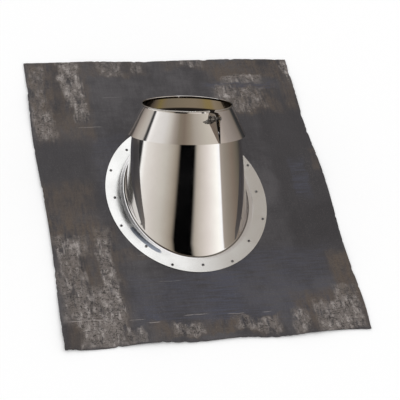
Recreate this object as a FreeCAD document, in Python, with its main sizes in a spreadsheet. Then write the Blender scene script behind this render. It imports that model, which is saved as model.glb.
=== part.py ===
"""Pipe flashing boot for a pitched roof, as a parametric FreeCAD document.

The lead sheet lies flat in XY with its underside at z = 0, +Y points up the roof slope and +Z is the
sheet's normal. The pipe axis leans up the slope by the roof pitch and crosses the lead's top face at the
boot's own origin. All lengths are millimetres and all angles are degrees.
"""
import FreeCAD, Part
import math
import os

import Sketcher

Vector = FreeCAD.Vector

# Driving dimensions: alias, value, meaning.
SIZES = [
    ("roof_pitch_angle", 37, "lean of the pipe axis from the sheet's normal"),
    ("sheet_width", 700, "lead sheet across the slope"),
    ("sheet_length", 860, "lead sheet along the slope"),
    ("lead_thickness", 1.8, "rolled lead, code 4"),
    ("edge_wander", 4, "how far the hand-cut edges leave straight lines"),
    ("sheet_corner_radius", 9, "rounding of the sheet's corners"),
    ("wave_height", 5, "how far the loose edges lift"),
    ("wave_length", 235, "from crest to crest along the edges"),
    ("wave_grid", 40, "spacing of the points that shape the waves"),
    ("boot_across", -6, "pipe axis from the sheet's centre, across the slope"),
    ("boot_along", -7, "pipe axis from the sheet's centre, along the slope"),
    ("foot_radius", 145.2, "cone's outer radius where the axis crosses the lead's top"),
    ("cone_half_angle", 6.4, "taper of the cone, each side"),
    ("cone_height", 167.7, "cone's top edge above the crossing, along the axis"),
    ("cone_skin", 0.6, "sheet steel of the cone and its flange"),
    ("flare_radius", 7.5, "bend from the cone into its flange, outside"),
    ("show_front", 4.4, "flat flange left in view at the front of the foot"),
    ("show_back", 0.6, "flat flange left in view at the back of the foot"),
    ("show_side", 8.3, "flat flange left in view at the sides of the foot"),
    ("ring_band", 34, "width of the clamping ring's band"),
    ("ring_thickness", 1, "sheet steel of the clamping ring"),
    ("flange_setback", 2, "flange's edge inside the ring's edge"),
    ("lead_hole_setback", 1.5, "lead's opening outside the ring's inner edge"),
    ("rivet_count", 16, "rivets round the ring"),
    ("inner_row_inset", 20, "inner rivets from the ring's outer edge"),
    ("outer_row_inset", 8.5, "outer rivets from the ring's outer edge"),
    ("rivet_shank", 4, "rivet shank diameter"),
    ("rivet_head", 7, "rivet head diameter"),
    ("rivet_head_rise", 2, "height of the domed head"),
    ("rivet_tail", 6, "diameter of the set tail, flush in the lead"),
    ("rivet_tail_rise", 0.6, "thickness of the set tail"),
    ("rivet_gap", 0.1, "radial gap between a rivet and its hole"),
    ("neck_bore", 210.6, "bore of the storm collar's neck"),
    ("collar_skin", 0.8, "sheet steel of the storm collar"),
    ("skirt_radius", 141.1, "storm collar's outer radius at its lower edge"),
    ("skirt_rise", 65.3, "storm collar's cone, along the axis"),
    ("neck_rise", 6, "storm collar's neck, with its bead"),
    ("bead_radius", 1.6, "rolled bead round the neck's rim"),
    ("collar_gap", 0.05, "clearance between the collar and the cone's top edge"),
    ("seam_angle", 18.4, "collar's seam, round the axis from straight down the slope"),
    ("seam_gap_low", 0.6, "half the gap between the ears at the skirt"),
    ("seam_gap_high", 7, "half the gap between the ears at the rim"),
    ("ear_margin", 10, "free edge of the ears, from the bolt"),
    ("ear_top_drop", 4.5, "top of the ears below the rim"),
    ("ear_foot", 1.8, "how far the ears stand out at the skirt"),
    ("ear_corner_radius", 9, "rounding of the ear's lug"),
    ("bolt_standoff", 11.3, "clamp bolt from the collar's outside, square to the axis"),
    ("bolt_drop", 16.5, "clamp bolt below the rim"),
    ("bolt_diameter", 6, "clamp bolt, M6"),
    ("bolt_length", 30, "clamp bolt under its head"),
    ("bolt_head_flats", 10, "hexagon head across flats"),
    ("bolt_head_height", 4, "hexagon head's height"),
    ("bolt_chamfer", 0.8, "chamfer on the bolt's end"),
    ("bolt_hole_gap", 0.4, "radial gap between the bolt and the holes it passes"),
    ("thread_gap", 0.05, "radial gap between the bolt and the wing nut"),
    ("washer_diameter", 12.5, "washer's outer diameter"),
    ("washer_thickness", 1.6, "washer's thickness"),
    ("nut_base_diameter", 12, "wing nut's hub where it bears on the washer"),
    ("nut_top_diameter", 9.5, "wing nut's hub at its outer end"),
    ("nut_height", 8, "wing nut's hub"),
    ("wing_span", 26, "wing nut across its wings"),
    ("wing_height", 16, "wing nut from its seat to the wing tips"),
    ("wing_thickness", 2, "wing nut's wings"),
    ("wing_width", 8, "width of a wing at its tip"),
    ("wing_angle", 52, "turn of the wings about the bolt"),
]

doc = FreeCAD.newDocument("PipeFlashingBoot")
sheet = doc.addObject("Spreadsheet::Sheet", "Sizes")
for row, (alias, value, meaning) in enumerate(SIZES, start=1):
    sheet.set(f"A{row}", alias)
    sheet.set(f"B{row}", str(value))
    sheet.set(f"C{row}", meaning)
    sheet.setAlias(f"B{row}", alias)
doc.recompute()


def size(expression):
    """The number that an expression on the sheet's cells gives."""
    result = sheet.evalExpression(expression)
    return float(getattr(result, "Value", result))


# ---- Expressions shared by several pieces ----
PITCH = "Sizes.roof_pitch_angle"
TAPER = "Sizes.cone_half_angle"
FOOT = "Sizes.foot_radius"
# The cone meets the lead's plane in an oval: its reach down and up the slope, and its half width.
FOOT_FRONT = f"({FOOT} / (cos({PITCH}) - sin({PITCH}) * tan({TAPER})))"
FOOT_BACK = f"({FOOT} / (cos({PITCH}) + sin({PITCH}) * tan({TAPER})))"
FOOT_SIDE = f"(sqrt({FOOT_FRONT} * {FOOT_BACK}) * sqrt(cos({PITCH})^2 - sin({PITCH})^2 * tan({TAPER})^2))"
# Width of the flared bend in plan, where the wall leans over it, away from it and upright.
FLARE_FRONT = f"(Sizes.flare_radius / tan((90 + {PITCH} + {TAPER}) / 2))"
FLARE_BACK = f"(Sizes.flare_radius / tan((90 - {PITCH} + {TAPER}) / 2))"
FLARE_SIDE = f"(Sizes.flare_radius / tan((90 + {TAPER}) / 2))"
RING_FRONT = f"({FOOT_FRONT} + {FLARE_FRONT} + Sizes.show_front)"
RING_BACK = f"({FOOT_BACK} + {FLARE_BACK} + Sizes.show_back)"
RING_CENTRE = f"(({RING_BACK} - {RING_FRONT}) / 2)"
RING_INNER_LONG = f"(({RING_BACK} + {RING_FRONT}) / 2)"
RING_INNER_WIDE = f"({FOOT_SIDE} + {FLARE_SIDE} + Sizes.show_side)"
RING_OUTER_LONG = f"({RING_INNER_LONG} + Sizes.ring_band)"
RING_OUTER_WIDE = f"({RING_INNER_WIDE} + Sizes.ring_band)"
FLANGE_LONG = f"({RING_OUTER_LONG} - Sizes.flange_setback)"
FLANGE_WIDE = f"({RING_OUTER_WIDE} - Sizes.flange_setback)"
RIVET_HOLE = "(Sizes.rivet_shank / 2 + Sizes.rivet_gap)"
# Levels above the lead's underside.
LEAD_TOP = "Sizes.lead_thickness"
FLANGE_TOP = f"({LEAD_TOP} + Sizes.cone_skin)"
RING_TOP = f"({FLANGE_TOP} + Sizes.ring_thickness)"
# The storm collar rests on the cone's top edge, so its level follows from the two slopes.
NECK_OUTER = "(Sizes.neck_bore / 2 + Sizes.collar_skin)"
CONE_TOP_RADIUS = f"({FOOT} - Sizes.cone_height * tan({TAPER}))"
COLLAR_SLOPE = f"((Sizes.skirt_radius - {NECK_OUTER}) / Sizes.skirt_rise)"
COLLAR_WALL = f"(Sizes.collar_skin * sqrt(1 + {COLLAR_SLOPE}^2))"
COLLAR_BASE = (f"(Sizes.cone_height - (Sizes.skirt_radius - {COLLAR_WALL} - {CONE_TOP_RADIUS}"
               f" - Sizes.collar_gap) / {COLLAR_SLOPE})")
RIM_LEVEL = "(Sizes.skirt_rise + Sizes.neck_rise)"
EAR_TOP = f"({RIM_LEVEL} - Sizes.ear_top_drop)"
BOLT_LEVEL = f"({RIM_LEVEL} - Sizes.bolt_drop)"
BOLT_REACH = f"(Sizes.skirt_radius - {COLLAR_SLOPE} * {BOLT_LEVEL} + Sizes.bolt_standoff)"
EAR_REACH = f"({BOLT_REACH} + Sizes.ear_margin)"

NO_TURN = "rotation(vector(0; 0; 1); 0)"
BOOT_FRAME = f"placement(vector(Sizes.boot_across; Sizes.boot_along; {LEAD_TOP}); {NO_TURN})"
AXIS_FRAME = f"{BOOT_FRAME} * placement(vector(0; 0; 0); rotation(vector(1; 0; 0); -{PITCH}))"
COLLAR_FRAME = (f"{AXIS_FRAME} * placement(vector(0; 0; {COLLAR_BASE}); "
                f"rotation(vector(0; 0; 1); Sizes.seam_angle - 90))")
# The bolt lies across the seam. Its frame starts midway between the ears, with local z along the bolt
# towards the head, and local x straight out from the pipe.
BOLT_FRAME = (f"{COLLAR_FRAME} * placement(vector({BOLT_REACH}; 0; {BOLT_LEVEL}); "
              f"rotation(vector(1; 0; 0); -90))")
# Outer faces of the two slanted ears at the bolt, over the width of a washer.
EAR_SLANT = f"((Sizes.seam_gap_high - Sizes.seam_gap_low) / {RIM_LEVEL})"
EAR_FACE = (f"(Sizes.seam_gap_low + {EAR_SLANT} * ({BOLT_LEVEL} + Sizes.washer_diameter / 2)"
            f" + Sizes.collar_skin * sqrt(1 + {EAR_SLANT}^2))")
HEAD_SEAT = f"({EAR_FACE} + Sizes.washer_thickness)"


# ---- Sketch and feature helpers ----
def new_body(name, placement):
    """An empty body whose place is bound to the sheet."""
    body = doc.addObject("PartDesign::Body", name)
    body.Label = name
    body.setExpression("Placement", placement)
    return body


def new_sketch(body, name, plane, turn=None, lift=None):
    """A sketch on one of the body's own planes, turned or lifted by an expression if given."""
    sketch = body.newObject("Sketcher::SketchObject", name)
    support = [item for item in body.Origin.OriginFeatures if item.Role == plane][0]
    sketch.AttachmentSupport = [(support, "")]
    sketch.MapMode = "FlatFace"
    if turn or lift:
        sketch.setExpression("AttachmentOffset",
                             f"placement(vector(0; 0; {lift or 0}); rotation(vector(0; 0; 1); {turn or 0}))")
    return sketch


def fix_point(sketch, geometry, corner, across, up):
    """Hold one point of the sketch at two expressions, measured from the sketch's origin."""
    for kind, expression in (("DistanceX", across), ("DistanceY", up)):
        index = sketch.addConstraint(Sketcher.Constraint(kind, -1, 1, geometry, corner, size(expression)))
        sketch.setExpression(f"Constraints[{index}]", expression)


def draw_polygon(sketch, points):
    """A closed outline of straight lines through points given as pairs of expressions."""
    places = [Vector(size(across), size(up), 0) for across, up in points]
    first = sketch.GeometryCount
    count = len(points)
    for index in range(count):
        sketch.addGeometry(Part.LineSegment(places[index], places[(index + 1) % count]))
    for index in range(count):
        sketch.addConstraint(Sketcher.Constraint("Coincident", first + index, 2,
                                                 first + (index + 1) % count, 1))
    for index, (across, up) in enumerate(points):
        fix_point(sketch, first + index, 1, across, up)


def draw_circle(sketch, across, up, radius):
    """A circle from three expressions."""
    circle = Part.Circle(Vector(size(across), size(up), 0), Vector(0, 0, 1), size(radius))
    geometry = sketch.addGeometry(circle)
    fix_point(sketch, geometry, 3, across, up)
    index = sketch.addConstraint(Sketcher.Constraint("Radius", geometry, size(radius)))
    sketch.setExpression(f"Constraints[{index}]", radius)


def draw_oval(sketch, half_wide, half_long):
    """An ellipse round the ring's centre, long along the slope."""
    centre = Vector(0, size(RING_CENTRE), 0)
    far_end = centre + Vector(0, size(half_long), 0)
    side_end = centre + Vector(size(half_wide), 0, 0)
    oval = sketch.addGeometry(Part.Ellipse(far_end, side_end, centre))
    sketch.exposeInternalGeometry(oval)
    long_axis, short_axis = oval + 1, oval + 2
    fix_point(sketch, oval, 3, "0", RING_CENTRE)
    sketch.addConstraint(Sketcher.Constraint("Vertical", long_axis))
    for axis, half in ((long_axis, half_long), (short_axis, half_wide)):
        index = sketch.addConstraint(Sketcher.Constraint("Distance", axis, size(f"2 * {half}")))
        sketch.setExpression(f"Constraints[{index}]", f"2 * {half}")


def add_pad(body, name, sketch, length, symmetric=False):
    """Raise a sketch by an expression, to one side or to both."""
    pad = body.newObject("PartDesign::Pad", name)
    pad.Profile = sketch
    pad.setExpression("Length", length)
    pad.SideType = "Symmetric" if symmetric else "One side"
    doc.recompute()
    return pad


def add_pocket(body, name, sketch, length=None, reverse=False, symmetric=False):
    """Cut a sketch into the body, through everything unless a length is given; it has to cut something."""
    before = body.Shape.Volume
    pocket = body.newObject("PartDesign::Pocket", name)
    pocket.Profile = sketch
    pocket.Reversed = reverse
    pocket.SideType = "Symmetric" if symmetric else "One side"
    if length:
        pocket.setExpression("Length", length)
    else:
        pocket.Type = "ThroughAll"
    doc.recompute()
    if body.Shape.Volume >= before - 1e-6:
        raise RuntimeError(f"{name} cuts nothing")
    return pocket


def add_revolution(body, name, sketch):
    """Turn a sketch round its own vertical axis."""
    turned = body.newObject("PartDesign::Revolution", name)
    turned.Profile = sketch
    turned.ReferenceAxis = (sketch, ["V_Axis"])
    turned.Angle = 360
    doc.recompute()
    return turned


def add_fillet(body, name, base, edges, radius):
    """Round the named edges of the base feature."""
    fillet = body.newObject("PartDesign::Fillet", name)
    fillet.Base = (base, edges)
    fillet.setExpression("Radius", radius)
    doc.recompute()
    return fillet


def edges_where(feature, test):
    """Names of the feature's edges whose geometry passes a test."""
    return [f"Edge{number}" for number, edge in enumerate(feature.Shape.Edges, start=1) if test(edge)]


def rivet_spots():
    """Across and along expressions of each rivet's centre, in a zigzag of two rows."""
    count = int(size("Sizes.rivet_count"))
    spots = []
    for index in range(count):
        inset = "Sizes.outer_row_inset" if index % 2 else "Sizes.inner_row_inset"
        turn = f"({index} * 360 / {count})"
        across = f"(({RING_OUTER_WIDE} - {inset}) * cos({turn}))"
        along = f"({RING_CENTRE} + ({RING_OUTER_LONG} - {inset}) * sin({turn}))"
        spots.append((across, along))
    return spots


# ---- Lead sheet ----
# Hand-cut edges: (place along the side from 0 to 1, share of edge_wander outwards).
LEFT_EDGE = [(0.00, 0.0), (0.07, 0.1), (0.21, -0.5), (0.37, -1.0), (0.55, 0.1), (0.71, 1.0), (0.90, 0.2),
             (1.00, 0.0)]
RIGHT_EDGE = [(0.00, 0.0), (0.10, 0.8), (0.26, -0.6), (0.40, 0.6), (0.53, 1.0), (0.72, -0.5), (0.86, -0.4),
              (1.00, 0.0)]
LOWER_EDGE = [(0.00, 0.0), (0.12, 0.4), (0.27, -0.7), (0.42, 0.5), (0.56, -0.5), (0.68, 1.0), (0.84, -0.3),
              (1.00, 0.0)]
UPPER_EDGE = [(0.00, 0.0), (0.22, 0.5), (0.50, 0.2), (0.74, 1.0), (1.00, 0.0)]


def wandering_edge(start, end, outward, shares):
    """A smooth edge between two points that wanders off its straight line by shares of edge_wander."""
    wander = size("Sizes.edge_wander")
    points = [start + (end - start) * place + outward * (share * wander) for place, share in shares]
    curve = Part.BSplineCurve()
    curve.interpolate(points)
    return curve.toShape()


def corner_arc(corner, start, end):
    """The rounded corner from one point to another round the square corner."""
    radius = (start - corner).Length
    centre = start + end - corner
    middle = centre + (corner - centre).normalize() * radius
    return Part.Arc(start, middle, end).toShape()


def sheet_outline(level):
    """The sheet's closed outline at one level, anticlockwise from its lower left corner."""
    half_wide = size("Sizes.sheet_width / 2")
    half_long = size("Sizes.sheet_length / 2")
    radius = size("Sizes.sheet_corner_radius")
    corners = [Vector(-half_wide, -half_long, level), Vector(half_wide, -half_long, level),
               Vector(half_wide, half_long, level), Vector(-half_wide, half_long, level)]
    shares = [LOWER_EDGE, RIGHT_EDGE, [(1 - place, share) for place, share in reversed(UPPER_EDGE)],
              [(1 - place, share) for place, share in reversed(LEFT_EDGE)]]
    edges = []
    for index, corner in enumerate(corners):
        following = corners[(index + 1) % 4]
        along = (following - corner).normalize()
        outward = Vector(along.y, -along.x, 0)
        inward = -outward
        start, end = corner + along * radius, following - along * radius
        edges.append(wandering_edge(start, end, outward, shares[index]))
        edges.append(corner_arc(following, end, following + inward * radius))
    return Part.Wire(Part.__sortEdges__(edges))


def smooth_step(value):
    """0 below 0, 1 above 1 and an even rise between."""
    clamped = min(1.0, max(0.0, value))
    return clamped * clamped * (3 - 2 * clamped)


def wave_lift():
    """A function of place: the underside's height, flat round the ring, with low waves near the edges."""
    reach_wide = size(f"{RING_OUTER_WIDE} * 1.4")
    reach_long = size(f"{RING_OUTER_LONG} * 1.38")
    centre = size(RING_CENTRE)
    half_wide = size("Sizes.sheet_width / 2")
    half_long = size("Sizes.sheet_length / 2")
    height = size("Sizes.wave_height")
    length = size("Sizes.wave_length")

    def lift(across, along):
        oval = math.hypot(across / reach_wide, (along - centre) / reach_long)
        edge = max(abs(across) / half_wide, abs(along) / half_long)
        loose = smooth_step((oval - 1.0) / 0.22) * smooth_step((edge - 0.76) / 0.24)
        turns_across, turns_along = across / length, along / length
        wave = (math.sin(2 * math.pi * 1.23 * turns_across + 0.6) + math.sin(2 * math.pi * turns_along)
                + math.cos(2 * math.pi * 0.76 * (turns_across - turns_along)))
        return height * loose * smooth_step((wave + 1.2) / 3.6)

    return lift


def wavy_underside():
    """A spline face that covers the sheet, exactly flat wherever its control points are."""
    spacing = size("Sizes.wave_grid")
    lift = wave_lift()
    columns = int(size("Sizes.sheet_width") / spacing) + 4
    rows = int(size("Sizes.sheet_length") / spacing) + 4
    poles = []
    for column in range(columns):
        across = (column - (columns - 1) / 2) * spacing
        line = []
        for row_number in range(rows):
            along = (row_number - (rows - 1) / 2) * spacing
            line.append(Vector(across, along, lift(across, along)))
        poles.append(line)
    degree = 3

    def knots(count):
        """Clamped uniform knots and their multiplicities for a number of poles."""
        spans = count - degree
        return list(range(spans + 1)), [degree + 1] + [1] * (spans - 1) + [degree + 1]

    column_knots, column_mults = knots(columns)
    row_knots, row_mults = knots(rows)
    surface = Part.BSplineSurface()
    surface.buildFromPolesMultsKnots(poles, column_mults, row_mults, column_knots, row_knots,
                                     False, False, degree, degree)
    return surface.toShape()


def oval_prism(half_wide, half_long, low, high):
    """An upright elliptical prism round the ring's centre, from numbers."""
    centre = Vector(size("Sizes.boot_across"), size(f"Sizes.boot_along + {RING_CENTRE}"), low)
    oval = Part.Ellipse(centre + Vector(0, half_long, 0), centre + Vector(half_wide, 0, 0), centre)
    face = Part.Face(Part.Wire(oval.toShape()))
    return face.extrude(Vector(0, 0, high - low))


def make_lead_sheet():
    """The lead sheet: a wavy slab trimmed to its outline, with the boot's opening and the rivet holes."""
    thickness = size(LEAD_TOP)
    depth = thickness + size("Sizes.wave_height")
    slab = wavy_underside().extrude(Vector(0, 0, thickness))
    outline = Part.Face(sheet_outline(-depth)).extrude(Vector(0, 0, 4 * depth))
    hole_wide = size(f"{RING_INNER_WIDE} + Sizes.lead_hole_setback")
    hole_long = size(f"{RING_INNER_LONG} + Sizes.lead_hole_setback")
    seat_wide = size(FLANGE_WIDE)
    seat_long = size(FLANGE_LONG)
    cutters = [oval_prism(hole_wide, hole_long, -depth, depth)]
    for across, along in rivet_spots():
        foot = Vector(size(f"Sizes.boot_across + {across}"), size(f"Sizes.boot_along + {along}"), -depth)
        cutters.append(Part.makeCylinder(size(RIVET_HOLE), 3 * depth, foot))
        tail_hole = size("Sizes.rivet_tail / 2 + Sizes.rivet_gap")
        cutters.append(Part.makeCylinder(tail_hole, depth + size("Sizes.rivet_tail_rise"), foot))
    # Under the flange the lead is a plain flat plate, so that it has true flat faces there.
    loose = slab.common(outline).cut(oval_prism(seat_wide, seat_long, -depth, 2 * depth))
    trimmed = loose.fuse(oval_prism(seat_wide, seat_long, 0, thickness)).cut(cutters)
    lead = doc.addObject("Part::Feature", "lead_sheet")
    lead.Label = "lead_sheet"
    lead.Shape = trimmed.Solids[0] if len(trimmed.Solids) == 1 else trimmed
    lead.Placement = FreeCAD.Placement()
    return lead


# ---- Cone with its flared foot and flange ----
def make_boot_cone():
    """A thin tapered shell on the leaning axis, flared at its foot into a flat oval flange."""
    body = new_body("boot_cone", BOOT_FRAME)
    skin = "Sizes.cone_skin"
    radial_skin = f"({skin} / cos({TAPER}))"
    depth = f"(1.4 * {FOOT})"

    def leaning_cone(name, radius):
        """Half section of a solid cone on the pipe axis, from below the foot to the top edge."""
        sketch = new_sketch(body, name, "YZ_Plane", turn=f"-{PITCH}")
        draw_polygon(sketch, [
            ("0", f"-{depth}"),
            (f"{radius} + {depth} * tan({TAPER})", f"-{depth}"),
            (f"{radius} - Sizes.cone_height * tan({TAPER})", "Sizes.cone_height"),
            ("0", "Sizes.cone_height"),
        ])
        return sketch

    add_revolution(body, "cone_outside", leaning_cone("cone_section", FOOT))
    below = new_sketch(body, "below_flange", "XY_Plane")
    draw_circle(below, "0", "0", f"3 * {FOOT}")
    add_pocket(body, "cone_trimmed", below, length=f"3 * {FOOT}")
    flange = new_sketch(body, "flange_outline", "XY_Plane")
    draw_oval(flange, FLANGE_WIDE, FLANGE_LONG)
    joined = add_pad(body, "flange", flange, skin)

    level = size(skin)

    def is_foot_line(edge):
        """The closed line where the cone meets the flange's top."""
        box = edge.BoundBox
        flat = abs(box.ZMin - level) < 1e-4 and abs(box.ZMax - level) < 1e-4
        return flat and box.YMax < size(RING_BACK) and box.YLength > size(FOOT)

    add_fillet(body, "flare_outside", joined, edges_where(joined, is_foot_line), "Sizes.flare_radius")

    inner = new_sketch(body, "inner_section", "YZ_Plane", turn=f"-{PITCH}")
    radius = f"({FOOT} - {radial_skin})"
    draw_polygon(inner, [
        ("0", f"-{depth}"),
        (f"{radius} + {depth} * tan({TAPER})", f"-{depth}"),
        (f"{radius} - 2 * Sizes.cone_height * tan({TAPER})", "2 * Sizes.cone_height"),
        ("0", "2 * Sizes.cone_height"),
    ])
    groove = body.newObject("PartDesign::Groove", "cone_inside")
    groove.Profile = inner
    groove.ReferenceAxis = (inner, ["V_Axis"])
    groove.Angle = 360
    doc.recompute()

    def is_inner_line(edge):
        """The closed line where the hollow meets the flange's underside."""
        box = edge.BoundBox
        flat = abs(box.ZMin) < 1e-4 and abs(box.ZMax) < 1e-4
        return flat and box.YMax < size(RING_BACK) and box.YLength > size(FOOT)

    add_fillet(body, "flare_inside", groove, edges_where(groove, is_inner_line),
               f"Sizes.flare_radius + {skin}")
    drill_rivet_holes(body)
    return body


def drill_rivet_holes(body):
    """Cut the zigzag of rivet holes through a flat piece from its XY plane upwards."""
    holes = new_sketch(body, f"{body.Name}_rivet_holes", "XY_Plane")
    for across, along in rivet_spots():
        draw_circle(holes, across, along, RIVET_HOLE)
    add_pocket(body, f"{body.Name}_drilled", holes, length="2 * (Sizes.cone_skin + Sizes.ring_thickness)",
               symmetric=True)


# ---- Clamping ring ----
def make_flange_ring():
    """A flat oval ring on the flange, drilled for the rivets."""
    body = new_body("flange_ring", f"{BOOT_FRAME} * placement(vector(0; 0; Sizes.cone_skin); {NO_TURN})")
    outline = new_sketch(body, "ring_outline", "XY_Plane")
    draw_oval(outline, RING_OUTER_WIDE, RING_OUTER_LONG)
    draw_oval(outline, RING_INNER_WIDE, RING_INNER_LONG)
    add_pad(body, "ring", outline, "Sizes.ring_thickness")
    drill_rivet_holes(body)
    return body


# ---- Rivets ----
def bind(item, **expressions):
    """Bind several properties of one object; a double underscore stands for a point."""
    for name, expression in expressions.items():
        item.setExpression(name.replace("__", "."), expression)


def make_rivets():
    """Dome-head rivets, each a cap, a shank and a tail set flush in the lead, in one group."""
    cap_radius = "((Sizes.rivet_head^2 / 4 + Sizes.rivet_head_rise^2) / (2 * Sizes.rivet_head_rise))"
    tail_level = "Sizes.rivet_gap"
    rivets = []
    for number, (across, along) in enumerate(rivet_spots(), start=1):
        centre_across = f"Sizes.boot_across + {across}"
        centre_along = f"Sizes.boot_along + {along}"
        cap = doc.addObject("Part::Sphere", f"rivet_cap_{number}")
        bind(cap, Radius=cap_radius, Angle1=f"asin(1 - Sizes.rivet_head_rise / {cap_radius})",
             Placement__Base__x=centre_across, Placement__Base__y=centre_along,
             Placement__Base__z=f"{RING_TOP} + Sizes.rivet_head_rise - {cap_radius}")
        shank = doc.addObject("Part::Cylinder", f"rivet_shank_{number}")
        bind(shank, Radius="Sizes.rivet_shank / 2", Height=f"{RING_TOP} - {tail_level}",
             Placement__Base__x=centre_across, Placement__Base__y=centre_along, Placement__Base__z=tail_level)
        tail = doc.addObject("Part::Cylinder", f"rivet_tail_{number}")
        bind(tail, Radius="Sizes.rivet_tail / 2", Height=f"Sizes.rivet_tail_rise - {tail_level}",
             Placement__Base__x=centre_across, Placement__Base__y=centre_along, Placement__Base__z=tail_level)
        rivet = doc.addObject("Part::MultiFuse", f"rivet_{number}")
        rivet.Shapes = [cap, shank, tail]
        rivets.append(rivet)
    group = doc.addObject("Part::Compound", "rivets")
    group.Label = "rivets"
    group.Links = rivets
    return group


# ---- Storm collar ----
def make_storm_collar():
    """A conical collar with a beaded neck, open along one seam, its ends bent out into two ears."""
    body = new_body("storm_collar", COLLAR_FRAME)
    bore = "Sizes.neck_bore / 2"
    rim = RIM_LEVEL
    middle_low = f"(Sizes.skirt_radius - {COLLAR_WALL} / 2)"
    middle_high = f"({NECK_OUTER} - Sizes.collar_skin / 2)"

    ears = new_sketch(body, "ear_side", "XZ_Plane")
    draw_polygon(ears, [
        (middle_low, "0"),
        ("Sizes.skirt_radius + Sizes.ear_foot", "0"),
        (EAR_REACH, f"{BOLT_LEVEL} - Sizes.ear_margin"),
        (EAR_REACH, EAR_TOP),
        (middle_high, EAR_TOP),
        (middle_high, "Sizes.skirt_rise"),
    ])
    thickness = f"(Sizes.collar_skin * sqrt(1 + {EAR_SLANT}^2))"
    half_low = f"(Sizes.seam_gap_low + {thickness})"
    half_high = f"(Sizes.seam_gap_high + {thickness})"
    block = add_pad(body, "ear_block", ears, f"4 * {half_high}", symmetric=True)

    def is_lug_corner(edge):
        """A corner line of the ear's lug, which runs straight across the seam."""
        box = edge.BoundBox
        straight = box.XLength < 1e-4 and box.ZLength < 1e-4
        return straight and abs(box.XMin - size(EAR_REACH)) < 1e-4

    add_fillet(body, "ear_corners", block, edges_where(block, is_lug_corner), "Sizes.ear_corner_radius")
    sides = new_sketch(body, "ear_taper", "YZ_Plane")
    far = f"(5 * {half_high})"
    for sign in ("", "-"):
        draw_polygon(sides, [
            (f"{sign}{half_low}", "0"),
            (f"{sign}{far}", "0"),
            (f"{sign}{far}", rim),
            (f"{sign}{half_high}", rim),
        ])
    add_pocket(body, "ears_tapered", sides, reverse=True)

    wall = new_sketch(body, "wall_section", "XZ_Plane")
    draw_polygon(wall, [
        ("Sizes.skirt_radius", "0"),
        (NECK_OUTER, "Sizes.skirt_rise"),
        (NECK_OUTER, f"{rim} - Sizes.bead_radius"),
        (bore, f"{rim} - Sizes.bead_radius"),
        (bore, f"Sizes.skirt_rise - ({COLLAR_WALL} - Sizes.collar_skin) / {COLLAR_SLOPE}"),
        (f"Sizes.skirt_radius - {COLLAR_WALL}", "0"),
    ])
    add_revolution(body, "wall", wall)
    bead = new_sketch(body, "bead_section", "XZ_Plane")
    draw_circle(bead, f"{bore} + Sizes.bead_radius", f"{rim} - Sizes.bead_radius", "Sizes.bead_radius")
    add_revolution(body, "bead", bead)

    gap = new_sketch(body, "seam_gap", "YZ_Plane")
    slack = "Sizes.neck_rise"
    draw_polygon(gap, [
        (f"-(Sizes.seam_gap_low - {EAR_SLANT} * {slack})", f"-{slack}"),
        (f"Sizes.seam_gap_low - {EAR_SLANT} * {slack}", f"-{slack}"),
        (f"Sizes.seam_gap_high + {EAR_SLANT} * {slack}", f"{rim} + {slack}"),
        (f"-(Sizes.seam_gap_high + {EAR_SLANT} * {slack})", f"{rim} + {slack}"),
    ])
    add_pocket(body, "seam_opened", gap, reverse=True)
    hole = new_sketch(body, "bolt_hole", "XZ_Plane")
    draw_circle(hole, BOLT_REACH, BOLT_LEVEL, "Sizes.bolt_diameter / 2 + Sizes.bolt_hole_gap")
    add_pocket(body, "bolt_hole_cut", hole, length=f"6 * {half_high}", symmetric=True)
    return body


# ---- Clamp bolt, washers and wing nut ----
def make_clamp_bolt():
    """A hexagon-head bolt through both ears, its head on the far side from the wing nut."""
    body = new_body("clamp_bolt", BOLT_FRAME)
    shank = new_sketch(body, "shank_circle", "XY_Plane", lift=f"{HEAD_SEAT} - Sizes.bolt_length")
    draw_circle(shank, "0", "0", "Sizes.bolt_diameter / 2")
    rod = add_pad(body, "shank", shank, "Sizes.bolt_length")
    end = size(f"{HEAD_SEAT} - Sizes.bolt_length")
    end_edge = edges_where(rod, lambda edge: abs(edge.BoundBox.ZMax - end) < 1e-4)
    chamfer = body.newObject("PartDesign::Chamfer", "shank_end")
    chamfer.Base = (rod, end_edge)
    chamfer.setExpression("Size", "Sizes.bolt_chamfer")
    doc.recompute()
    head = new_sketch(body, "head_hexagon", "XY_Plane", lift=HEAD_SEAT)
    corner = "(Sizes.bolt_head_flats / sqrt(3))"
    draw_polygon(head, [(f"{corner} * cos({turn})", f"{corner} * sin({turn})") for turn in range(0, 360, 60)])
    add_pad(body, "head", head, "Sizes.bolt_head_height")
    # A hexagon head's corners are turned off to a cone of 30 degrees.
    turned = new_sketch(body, "head_chamfer", "XZ_Plane")
    top = f"({HEAD_SEAT} + Sizes.bolt_head_height)"
    flat = "(Sizes.bolt_head_flats * 0.47)"
    draw_polygon(turned, [
        (flat, top),
        (f"{flat} + 2 * Sizes.bolt_head_height", f"{top} - 2 * Sizes.bolt_head_height * tan(30)"),
        (f"{flat} + 2 * Sizes.bolt_head_height", top),
    ])
    groove = body.newObject("PartDesign::Groove", "head_turned")
    groove.Profile = turned
    groove.ReferenceAxis = (turned, ["V_Axis"])
    groove.Angle = 360
    doc.recompute()
    return body


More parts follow.
